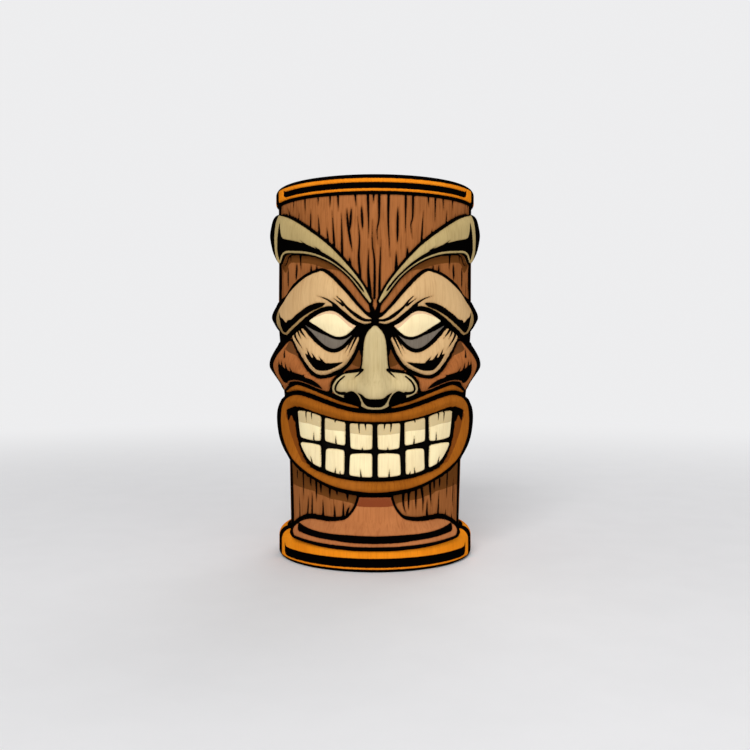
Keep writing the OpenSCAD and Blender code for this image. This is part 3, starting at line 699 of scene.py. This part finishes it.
def lips():
    # Painted shade: the mouth's upper corners are black
    corner = area(
        (42.5, 63.8), (41, 64.9), (38.8, 65.6), (36.7, 65.9), (37.6, 62.5), (39.6, 59.6), (40.5, 62.2), (42.3, 59.8))
    inner_line = stroke(1.0, 0.2, (38.3, 63.5), (38.4, 57), (37.6, 51.4), (36.3, 47.4), (34, 44.2))
    rim = outside(
        (-7, 64.3), (0, 64.1), (7, 64.3), (14, 65.7), (21, 67.7), (28, 69.7), (34.5, 70.8), (39.8, 70), (42.9, 67.7),
        (45.4, 64.4), (46.9, 60.5), (47.2, 57), (46.6, 53.4), (44.2, 49.2), (40.2, 44.7), (35.2, 41.5), (28.6, 38.4),
        (18, 34.5), (9, 32.9), (0, 32.2), (-9, 32.9))
    # Painted shade: the inner wall of the lips at the sides takes a darker shade colour
    inside = area(
        (42.9, 62.9), (42.4, 59), (41.8, 55.7), (40.4, 52), (38.8, 48.7), (36.5, 45.5), (34, 43), (32, 45),
        (36, 63.3))
    carved("lips", "lip_paint", [corner], [inner_line], [rim], [inside], margin=(0.5, 0.5))


def lip_ridge(side):
    end = beyond((35, 76.5), (39, 74.3), (41, 73.7), (43.5, 72.6), (45.2, 71.8), (46, 69.5))
    carved("lip_ridge_" + side, "lip_paint", burnt=[end], margin=(0.45, 0.45))


def mouth_plate():
    carved("mouth_plate", "mouth_black", margin=(0.0, 0.0), round_over=0.3, spacing=1.2)


# Painted shadow: the upper teeth take a darker shade colour near the gum, where the upper lip shades them
lip_shadow = area(
    (-3, 56), (10.3, 56), (12.8, 56.7), (21.4, 57.3), (24.3, 58.2), (28.6, 59.2), (36.5, 60.4), (39, 66), (20, 68),
    (-3, 66))
tooth_cracks = {
    "upper_1": [((6.6, 60.5), (6.2, 55.9)), ((4, 60.5), (3.6, 57.1)), ((5.4, 48.8), (5.1, 50.4))],
    "upper_2": [((16.6, 61.5), (16.4, 59.9)), ((16.5, 50.8), (16.2, 54.7))],
    "upper_3": [((31, 65), (30.3, 59.8)), ((28, 64.6), (27.4, 60.6)), ((27.4, 51.6), (26.7, 55.9))],
    "lower_1": [((5.8, 37.6), (6, 41.5))],
    "lower_2": [((17.4, 38.8), (16.6, 42)), ((14.9, 38.6), (14.9, 40.5))],
    "lower_3": [((28.8, 43.2), (29.2, 45.9))],
}


def tooth(row, side, number):
    cracks = [stroke(0.5, 0.08, *line) for line in tooth_cracks[f"{row}_{number}"]]
    carved(f"{row}_tooth_{side}_{number}", "cream_paint", lines=cracks, painted_shade=[lip_shadow] if row == "upper" else [],
           margin=(0.05, 0.05), soften=1.0, spacing=0.4, round_over=0.7, cut=0.3, back=PLATE_T + GLUE)


def throat():
    band = area(
        (36.5, 17.6), (33.2, 17), (28.6, 16.2), (23.3, 15.6), (17.1, 15.3), (9.9, 15.2), (0, 15), (-5, 15.1),
        (-5, 12.1), (0, 12), (9.8, 12.2), (16, 12.7), (22.8, 13.1), (27.8, 13.6), (32.4, 14.2), (34.9, 14.7),
        (36, 16.1))
    # Painted shadow: the top of the neck takes a darker shade colour below the lips
    neck_shadow = area((-4, 26.7), (9, 26.7), (9.5, 32), (-4, 32))

    def rear(z):
        lift, gap = 1, 0.4
        up = np.clip(z - lift - BASE_H + BASE_ROUND, 0, BASE_ROUND)
        ring = BASE_R - BASE_ROUND + np.sqrt(BASE_ROUND ** 2 - up ** 2)
        return np.maximum(log_at(z) + GLUE, np.where(z - lift > BASE_H, 0, ring) + gap)
    end = beyond((37.5, 21), (38.4, 15), (38, 8))
    carved("throat_panel", "throat_paint", [band], [], [end], [neck_shadow], margin=(0.5, 1.6), back_at=rear)


# Turned pieces

def turned(name, node, paint, profile, columns, displaced, body="mug", sharp=40):
    """A turned piece: profile is a closed list of (radius, height), and displaced(girth, z, r) gives the new
    radius, the ink and the painted shade of the points."""
    profile = np.array(profile, float)
    rows = len(profile)
    turn = (np.arange(columns) / columns - 0.5) * 2 * math.pi
    girth = np.repeat(turn * GIRTH_R, rows)
    r = np.tile(profile[:, 0], columns)
    z = np.tile(profile[:, 1], columns)
    r, ink, painted_shade = displaced(girth, z, r)
    faces = []
    for c in range(columns):
        d = (c + 1) % columns
        for k in range(rows):
            m = (k + 1) % rows
            faces.append([c * rows + k, d * rows + k, d * rows + m, c * rows + m])
    layers = {"unrolled": np.stack([girth, z, r], 1), "ink": ink, "painted_shade": painted_shade, "edge": np.full(len(r), 9.0)}
    make_piece(name, rolled(girth, z, r), faces, layers, materials[paint], [node], body, sharp)


def straight(start, end, step):
    """Points from start towards end, about step apart, without the end."""
    start, end = np.array(start, float), np.array(end, float)
    parts = max(1, round(np.linalg.norm(end - start) / step))
    return [tuple(start + (end - start) * i / parts) for i in range(parts)]


def arc(centre, radius, first, last, parts=8):
    """Points on a round corner, angles in degrees from the outward direction."""
    turns = np.radians(np.linspace(first, last, parts + 1))
    return [(centre[0] + radius * math.cos(t), centre[1] + radius * math.sin(t)) for t in turns]


def drawn_cracks():
    """The cracks that show between the carved pieces: girth and height of their points from the upper end down."""
    hung = [
        (-32, 152, -31.7, 145.7), (-24.7, 152, -24.6, 148.5), (-19, 152, -18.9, 147.3), (-15.5, 152, -15.2, 145.5),
        (-8.1, 152, -7.7, 147.1), (-2.9, 152, -2.6, 140.1, -2.7, 134.3), (-0.6, 152, -0.5, 148.2),
        (1.7, 152, 1.6, 142, 0.8, 137.4, 1.2, 131.8), (5.5, 152, 5.4, 140.1, 6.1, 126.7), (12.7, 152, 12.5, 136.7),
        (15.9, 152, 15.7, 143.2, 14.9, 139.7, 15.6, 134.3), (23, 152, 23.1, 147.8), (26.6, 152, 26.4, 141.8),
        (30.9, 152, 31.1, 147.2), (-39.9, 152, -39.9, 147.9), (37, 152, 37, 147.9), (-39.8, 35.5, -39.8, 26.3),
        (-30.4, 33.6, -30.4, 26.5), (-22.3, 32, -22.3, 28), (13.4, 31, 13.5, 26.4, 14.8, 22.7),
        (16.1, 31.2, 16.1, 24.1), (19.9, 31.7, 19.9, 24.2), (23.1, 32.1, 23.9, 27.6, 23.7, 22.5),
        (28, 32.5, 28.9, 24.8), (40.2, 35.4, 40.2, 27.1), (-45.7, 35.6, -44.4, 33.6), (-34.2, 33.7, -33.6, 32),
        (-27.6, 32.3, -27.5, 29.8), (-18.4, 31, -18.1, 29.6), (-13, 29.8, -12.8, 27.8), (34.2, 33.4, 34.2, 31.4),
        (30.6, 32.8, 30.6, 31)]
    standing = [
        (-28.4, 147.1, -28.8, 139.8), (-24.6, 144.4, -24.1, 136.5), (-20.4, 138.8, -19.9, 133.5),
        (-18, 145.7, -17.1, 131.3), (-13.9, 144.3, -13.6, 128.3), (-10.5, 126.8, -10.3, 124.8),
        (-7.2, 142.9, -6.3, 134.4, -6.6, 126.7, -6, 119.4), (-2.6, 129.9, -2.7, 120.5, -2, 112),
        (-1, 141.6, -1.1, 132.4, -0.2, 124.7, -0.2, 112), (2.5, 133.5, 2, 122.8, 1.8, 112), (8.6, 129, 8.7, 122.3),
        (13.3, 130.9, 13.4, 127.9), (20.6, 145.8, 19.8, 133.2), (24.9, 138.7, 24.7, 136.7), (33, 147, 32.7, 141.7),
        (-45.3, 149.6, -43.2, 146.3), (-35.6, 146.4, -36, 143.4), (38.8, 146.4, 39, 144.6),
        (-26.4, 27.4, -26.4, 20.5), (-19.7, 26, -19.7, 20.5), (-33.2, 30, -33.7, 20.8), (26.3, 27.7, 26.3, 21),
        (33.8, 29.9, 33.8, 21.1), (39.7, 22.2, 39.7, 20), (-11.7, 26, -13.1, 23.5), (46, 20.4, 46.2, 18.6),
        (-44, 28, -44.4, 17.6), (-35.9, 28.1, -37, 20), (-15, 27.6, -15.2, 21.4)]
    loose = [
        (-11.6, 146.3, -11.1, 139.5, -9.3, 129), (-9.7, 146.4, -10.3, 137.6), (-5.5, 147, -5, 137.6),
        (9.3, 146.7, 9.1, 132.1), (46.9, 35.4, 46.9, 22.5)]
    for side in (-1, 1):
        hung += [(41.8 * side, 129.5, 42.1 * side, 126.1), (34.9 * side, 128.5, 34.4 * side, 122.6)]
        standing += [(28.5 * side, 124.5, 28.5 * side, 121.5), (25.5 * side, 124.4, 25.5 * side, 121.7)]
        loose += [
            (37.2 * side, 125.4, 37.7 * side, 118.5), (44.4 * side, 124.6, 44.2 * side, 115.5),
            (53 * side, 125, 53 * side, 114), (57 * side, 28, 57 * side, 16), (63 * side, 129, 63 * side, 115),
            (68 * side, 40, 68 * side, 22)]
    forehead, fine, bold = 133, 0.5, 0.7
    return [crack(kind, *np.reshape(line, (-1, 2)), half=fine if line[1] > forehead else bold)
            for kind, found in (("hung", hung), ("standing", standing), ("loose", loose)) for line in found]


def back_cracks():
    """The CAD model's columns of cracks round the back, with finer ones scattered between them and the face."""
    def spread(i):
        return i * 0.618 - math.floor(i * 0.618)
    whole = math.pi * GIRTH_R
    columns, first, half = 10, 80, 0.55
    found = []
    for n, (low, high, count) in enumerate(((14, 44.8, 2), (44.8, 100, 3), (100, 150.8, 3))):
        pitch = (high - low) / count
        for i in range(columns):
            for k in range(count):
                length = pitch * (0.5 + 0.4 * spread(5 * i + 3 * k + n))
                foot = low + pitch * k + (pitch - length) * (0.1 + 0.8 * spread(7 * i + 2 * k + n))
                girth = first + 2 * (whole - first) / columns * (i + 0.2 + 0.6 * spread(3 * i + k + n))
                found.append((girth - 2 * whole if girth > whole else girth, foot, foot + length, half))
    dice = random.Random(7)
    face_end = 48.5
    girth = face_end
    while girth < 2 * whole - face_end:
        z = BASE_H + dice.uniform(-16, 6)
        while z < RIM_Z:
            length = dice.choice((6, 9, 13, 18, 24, 30)) * dice.uniform(0.8, 1.2)
            place = (girth + dice.uniform(-0.7, 0.7) + whole) % (2 * whole) - whole
            if all(abs(place - g) > 1.5 or z > top + 1 or z + length < low - 1 for g, low, top, _ in found):
                found.append((place, z, z + length, dice.uniform(0.24, 0.46)))
            z += length + dice.uniform(2, 11)
        girth += dice.uniform(1.7, 2.9)
    lines = []
    for girth, low, high, half in found:
        sway = dice.uniform(-0.35, 0.35)
        lines.append(crack("loose", (girth, high), (girth + sway, 0.6 * high + 0.4 * low),
                           (girth - 0.6 * sway, 0.25 * high + 0.75 * low), (girth, low), half=half))
    return lines


# Width of the burnt line on the log round each piece, how far the shadow reaches below two of them, and the girths
# between which it grows to that
BURNT_ROUND = {"upper_brow_right": 0.45, "brow_right": 0.6, "eye_right": 0.6, "eye_shade_right": 0.6,
               "eye_bag_right": 0.6, "cheek_right": 0.6, "nose": 1.0, "lips": 1.2, "lip_ridge_right": 1.2,
               "throat_panel": 0.9}
SHADOW_BELOW = {"upper_brow_right": (3.4, 11, 22), "lips": (2.6, -1, 0)}


def side_line(girth, z):
    """Ink distance of the burnt line that runs down each side, where the face ends: uneven at its back."""
    front = 53.0
    back = 60.3 + 0.5 * np.sin(z / 6.1) + 0.35 * np.sin(z / 2.3 + 1)
    return np.minimum(np.abs(girth) - front, back - np.abs(girth))


def log():
    rim_seat, spigot, bore_rim, bore_foot, floor_r = RIM_Z + 4.2, 40.5, 36.2, 31.7, 33.5
    foot, floor_z, row = FOOT_R - 0.9, 7.6, 0.8
    profile = (straight((floor_r, 0), (foot, 0), 2) + straight((foot, 0), (foot, BASE_H), 4)
               + [(foot, BASE_H)] + straight((FOOT_R, BASE_H), (CHIN_R, CHIN_Z), row)
               + straight((CHIN_R, CHIN_Z), (LOG_R, BROW_Z), row) + straight((LOG_R, BROW_Z), (LOG_R, RIM_Z), row)
               + [(LOG_R, RIM_Z), (spigot, RIM_Z), (spigot, rim_seat)]
               + straight((bore_rim, rim_seat), (bore_foot, floor_z), 12)
               + [(bore_foot, floor_z), (floor_r, floor_z)])

    def displaced(girth, z, r):
        outer = (np.abs(r - log_at(z)) < 1e-6) & (z >= BASE_H - 1e-6) & (z <= RIM_Z + 1e-6)
        ink, painted_shade = blank(r), blank(r)
        ink[outer] = union(drawn_cracks() + back_cracks(), np.stack([girth, z], 1)[outer], ink[outer])
        hewn_depth, crack_depth, end_line, face_reach = 0.16, 0.55, 0.8, 80
        hewn = hewn_depth * (np.sin(girth / 5.3 + 0.6 * np.sin(z / 19)) * np.sin(z / 13 + girth / 31) + 1)
        depth = np.where(outer, hewn + crack_depth * ramp(ink, -0.2, 0.3), 0)
        # Burnt lines round the pieces and down the sides, and painted shadows below the brows and the lips
        front = np.flatnonzero(outer & (np.abs(girth) < face_reach))
        flat = np.stack([np.abs(girth), z], 1)[front]
        for node, width in BURNT_ROUND.items():
            ink[front] = np.maximum(ink[front], width - np.abs(signed_distance(flat, outlines[node])))
        # Painted shadow: the log beside the nose bridge is black
        nose_side_shadow = area(
            (-4, 103.2), (0, 103.2), (3.6, 104.7), (5, 101), (9, 98.5), (7.8, 95), (6.8, 90.5), (6.2, 89), (5.2, 87),
            (-4, 87))
        socket = area(
            (5, 99), (10, 103), (17, 107), (24, 105), (31, 101.5), (33, 99), (28, 96), (22, 90), (16, 88), (10, 91),
            (6.5, 95))
        shoulder = stroke(1.0, 0.8, (53, 14), (46.6, 16.6), (42, 18.2), (38.3, 19.5), (35.4, 20.1), (31, 20.6))
        temple = area((44, 97), (52, 99), (60, 97), (60, 87), (52, 86), (46, 91))
        mouth_end = stroke(1.6, 1.6, (47, 70.6), (55, 70.6))
        fork = stroke(0.7, 1.3, (1.9, 108), (1.5, 106.6), (1, 105), (0.4, 103))
        burnt = (nose_side_shadow, socket, shoulder, temple, mouth_end, fork)
        ink[front] = union(burnt, flat, np.maximum(ink[front], side_line(girth[front], z[front])))
        for node, (drop, none_at, full_at) in SHADOW_BELOW.items():
            moved = []
            for line in outlines[node]:
                fall = drop * ramp(np.abs(line[:, 0]), none_at, full_at)
                moved.append(np.stack([line[:, 0], line[:, 1] - fall], 1))
            painted_shade[front] = np.maximum(painted_shade[front], signed_distance(flat, moved))
        # Painted shade beside the nose, and a painted shadow below the lips on the chin
        shade_beside_nose = area((3, 83.4), (9.5, 83.6), (10.5, 90), (3, 92))
        chin_shadow = area(
            (8, 27), (11.7, 27.3), (15.4, 27.8), (18.8, 28.1), (21.9, 28.3), (25.9, 29.3), (29.5, 29.7), (31.8, 30.7),
            (38, 31.1), (41.1, 31.3), (49.9, 31.7), (56, 32), (56, 48), (40, 46), (20, 38), (8, 35))
        painted_shade[front] = union([shade_beside_nose, chin_shadow], flat, painted_shade[front])
        edge = np.minimum(np.abs(z - RIM_Z), np.abs(z - BASE_H))
        return r - depth, np.where(outer, np.maximum(ink, end_line - edge), NO_MARK), painted_shade
    turned("log_body_turned", "log_body", "log_wood", profile, 840, displaced)


def groove_shapes(z, half, hook, front, land=20):
    """Outlines of a ring's three black grooves, as girth and height: their ends hook up to a point."""
    back = (360 - 2 * front - 3 * land) / 2
    shapes = []
    for middle, reach in ((0, front), (front + land + back / 2, back / 2), (-front - land - back / 2, back / 2)):
        end = math.radians(reach) * GIRTH_R
        right = [
            (end - 3.2, z - half), (end - 0.9, z - half + 0.5), (end, z - 0.2 * half), (end + 0.2, z + half),
            (end - 0.2, z + half + hook), (end - 0.9, z + half + 0.4), (end - 3.2, z + half)]
        left = [(-s, h) for s, h in reversed(right)]
        line = right + straight(right[-1], left[0], 6)[1:] + left + straight(left[-1], right[0], 6)[1:]
        shapes.append(spline(np.array(line) + (math.radians(middle) * GIRTH_R, 0), step=0.8))
    return shapes


def groove_ink(shapes, girth, z):
    """Ink distance for a ring's grooves, with the girth going right round."""
    best = blank(girth)
    whole, halo = 2 * math.pi * GIRTH_R, 3
    for shape in shapes:
        for lap in (-whole, 0, whole):
            moved = shape + (lap, 0)
            near = (girth > moved[:, 0].min() - halo) & (girth < moved[:, 0].max() + halo)
            near &= (z > moved[:, 1].min() - halo) & (z < moved[:, 1].max() + halo)
            if near.any():
                best[near] = np.maximum(best[near], signed_distance(np.stack([girth[near], z[near]], 1), [moved]))
    return best


def rim_ring():
    inside, seat, recess, spigot = 36.2, MUG_H - 2.6, 39.1, 40.6
    low_round, high_round = 1.6, 2.6
    profile = ([(spigot, RIM_Z)] + straight((spigot, RIM_Z), (RIM_R - low_round, RIM_Z), 1)[1:]
               + arc((RIM_R - low_round, RIM_Z + low_round), low_round, -90, 0, 6)
               + straight((RIM_R, RIM_Z + low_round), (RIM_R, MUG_H - high_round), 0.3)[1:]
               + arc((RIM_R - high_round, MUG_H - high_round), high_round, 0, 90, 10)
               + [(recess + 0.4, MUG_H), (recess + 0.1, MUG_H - 0.1), (recess, MUG_H - 0.4), (recess, seat),
                  (inside, seat), (inside, RIM_Z + 4.3), (spigot, RIM_Z + 4.3)])
    shapes = groove_shapes(z=155.25, half=1.55, hook=1.4, front=63)

    def displaced(girth, z, r):
        groove_depth, flank, under_line, top_line = 0.75, 0.3, 0.6, 2.0
        groove = np.where(r > RIM_R - 0.7, groove_ink(shapes, girth, z), NO_MARK)
        depth = groove_depth * ramp(groove, -0.1, 0.8)
        lines = np.maximum(under_line - (z - RIM_Z), np.where(r > recess, top_line - (MUG_H - z), NO_MARK))
        lines = np.maximum(lines, side_line(girth, z))
        return r - depth, np.maximum(groove - flank, np.where(r > spigot, lines, NO_MARK)), blank(r)
    turned("rim_ring_turned", "rim_ring", "orange_wood", profile, 720, displaced)


def base_ring():
    inside, low_round = FOOT_R - 0.8, 2.0
    profile = (straight((inside, 0), (BASE_R - low_round, 0), 1.5)
               + arc((BASE_R - low_round, low_round), low_round, -90, 0, 8)
               + straight((BASE_R, low_round), (BASE_R, BASE_H - BASE_ROUND), 0.35)[1:]
               + arc((BASE_R - BASE_ROUND, BASE_H - BASE_ROUND), BASE_ROUND, 0, 90, 16)
               + straight((BASE_R - BASE_ROUND, BASE_H), (inside, BASE_H), 0.8)[1:] + [(inside, BASE_H)])
    shapes = groove_shapes(z=3.95, half=1.85, hook=1.8, front=65)

    def displaced(girth, z, r):
        groove_depth, under_line, log_line, upper_part, throat_line, throat_reach = 0.85, 1.4, 1.6, 6, 0.5, 50
        ink = np.where(r > BASE_R - 1.6, groove_ink(shapes, girth, z), NO_MARK)
        depth = groove_depth * ramp(ink, -0.1, 1.0)
        lines = np.maximum(under_line - z, np.where(z > upper_part, FOOT_R + log_line - r, NO_MARK))
        front = np.flatnonzero((np.abs(girth) < throat_reach) & (r > BASE_R - BASE_ROUND))
        lap = np.abs(signed_distance(np.stack([girth, z], 1)[front], outlines["throat_panel"]))
        ink[front] = np.maximum(ink[front], throat_line - lap)
        ink = np.maximum(ink, np.where(r > inside + 1, side_line(girth, z), NO_MARK))
        return r - depth, np.maximum(ink, lines), blank(r)
    turned("base_ring_turned", "base_ring", "orange_wood", profile, 720, displaced)


def liner():
    sheet, bottom, round_r = 0.8, 8.3, 5.0
    foot, rim, flange, flange_z = 31.3, 35.8, 38.8, 158.22
    wall = straight((foot, bottom + round_r), (rim, flange_z), 6)
    inner = [(r - sheet, z) for r, z in reversed(wall[1:])]
    lip = 0.45
    profile = ([(0.6, bottom)] + straight((3, bottom), (foot - round_r, bottom), 4)
               + arc((foot - round_r, bottom + round_r), round_r, -90, 0, 8) + wall[1:] + [(rim, flange_z)]
               + arc((flange - lip, flange_z + lip), lip, -90, 90, 8)
               + arc((rim - sheet + 0.9, flange_z + 0.1), 0.9, 90, 180, 6)
               + inner + arc((foot - round_r, bottom + round_r), round_r - sheet, 0, -90, 8)
               + straight((foot - round_r, bottom + sheet), (3, bottom + sheet), 4)[1:] + [(0.6, bottom + sheet)])

    def displaced(girth, z, r):
        return r, blank(r), blank(r)
    turned("liner_cup_spun", "liner_cup", "liner_steel", profile, 240, displaced, "liner", 30)


# Stage, light and camera

BACKDROP = (0.85, 0.85, 0.86, 1.0)


def seen(n):
    """1 for rays that show the background: straight to the camera, mirrored or through glass."""
    path = n.add("LightPath").outputs
    shown = n.math("MAXIMUM", path["Is Camera Ray"], path["Is Glossy Ray"])
    return n.math("MAXIMUM", shown, path["Is Transmission Ray"])


def stage():
    """A wide pale floor: lit paper round the mug, which turns into the plain backdrop further out."""
    radii, parts = (0.2, 0.5, 1.2, 3.0, 8.0), 96
    turns = np.arange(parts) * 2 * math.pi / parts
    points = [(0, 0, 0)] + [(r * math.cos(t), r * math.sin(t), 0) for r in radii for t in turns]
    faces = [[0, 1 + i, 1 + (i + 1) % parts] for i in range(parts)]
    for k in range(len(radii) - 1):
        inner, outer = 1 + k * parts, 1 + (k + 1) * parts
        for i in range(parts):
            j = (i + 1) % parts
            faces.append([inner + i, outer + i, outer + j, inner + j])
    mesh = bpy.data.meshes.new("floor")
    mesh.from_pydata(points, [], faces)
    n = Nodes(bpy.data.materials.new("floor_paper"))
    place = n.add("TexCoord").outputs["Object"]
    mottle = n.noise(place, (40.0, 40.0, 40.0), 3.0, 0.6)
    tint = n.mix(n.span(mottle, 0.3, 0.7, 0.0, 0.4), srgb(243, 243, 245), srgb(239, 239, 241))
    mesh.materials.append(n.finish(tint, n.span(mottle, 0.3, 0.7, 0.8, 0.9), mottle, 0.02, Specular_IOR_Level=0.1))
    away = n.add("VectorMath", {0: place}, operation="LENGTH").outputs["Value"]
    plain = n.add("Emission", {"Color": BACKDROP, "Strength": 1.0}).outputs[0]
    paper_to, backdrop_from = 0.12, 0.8
    share = n.math("MULTIPLY", n.span(away, paper_to, backdrop_from), seen(n))
    both = n.add("MixShader", {0: share, 1: n.shader.outputs[0], 2: plain}).outputs[0]
    n.put(n.tree.nodes["Material Output"].inputs["Surface"], both)
    floor = placed("floor", mesh)


def lamp(name, place, size, power):
    light = bpy.data.lights.new(name, "AREA")
    light.shape = "SQUARE"
    light.size = size
    light.energy = power
    lamp_object = placed(name, light)
    lamp_object.location = place
    aim = Vector((0, 0, 0.5 * MUG_H * MM)) - Vector(place)
    lamp_object.rotation_euler = aim.to_track_quat("-Z", "Y").to_euler()


def lights():
    n = Nodes(bpy.data.worlds.new("studio"), "Background")
    n.put(n.shader.inputs["Color"], (1.0, 1.0, 1.0, 1.0))
    n.put(n.shader.inputs["Strength"], 0.32)
    plain = n.add("Background", {"Color": BACKDROP}).outputs[0]
    both = n.add("MixShader", {0: seen(n), 1: n.shader.outputs[0], 2: plain}).outputs[0]
    n.put(n.tree.nodes["World Output"].inputs["Surface"], both)
    bpy.context.scene.world = n.owner
    lamp("key", (-0.22, -1.05, 0.85), 0.6, 9.9)
    lamp("fill", (0.6, -1.0, 0.35), 0.8, 2.8)
    lamp("back", (0.35, 1.0, 0.9), 0.8, 4.5)
    bpy.context.scene.view_settings.view_transform = "Standard"


def camera():
    """The photograph's view: level, from in front and a little above the middle of the mug."""
    photo_size, focal_pixels, framing_pixels = 750, 893, -20.0
    distance, eye_level, sensor = 0.400, 0.0874, 36.0
    data = bpy.data.cameras.new("photo_camera")
    data.sensor_width = sensor
    data.lens = sensor * focal_pixels / photo_size
    data.shift_y = framing_pixels / photo_size
    data.clip_start = 0.01
    view = placed("photo_camera", data)
    view.location = (0, -distance, eye_level)
    view.rotation_euler = (math.radians(90), 0, 0)
    bpy.context.scene.camera = view


camera()
stage()
lights()
for side in SIDES:
    upper_brow(side)
    brow(side)
for side in SIDES:
    eye(side)
    eye_shade(side)
    eye_bag(side)
    cheek(side)
    lip_ridge(side)
nose()
lips()
mouth_plate()
for side in SIDES:
    for number in (1, 2, 3):
        tooth("upper", side, number)
        tooth("lower", side, number)
throat()
log()
rim_ring()
base_ring()
liner()
for node, finish in (("floor_disc", "plain_wood"), ("pegs", "plain_wood"), ("liner_gasket", "seal")):
    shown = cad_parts[node].data
    shown.materials.clear()
    shown.materials.append(materials[finish])
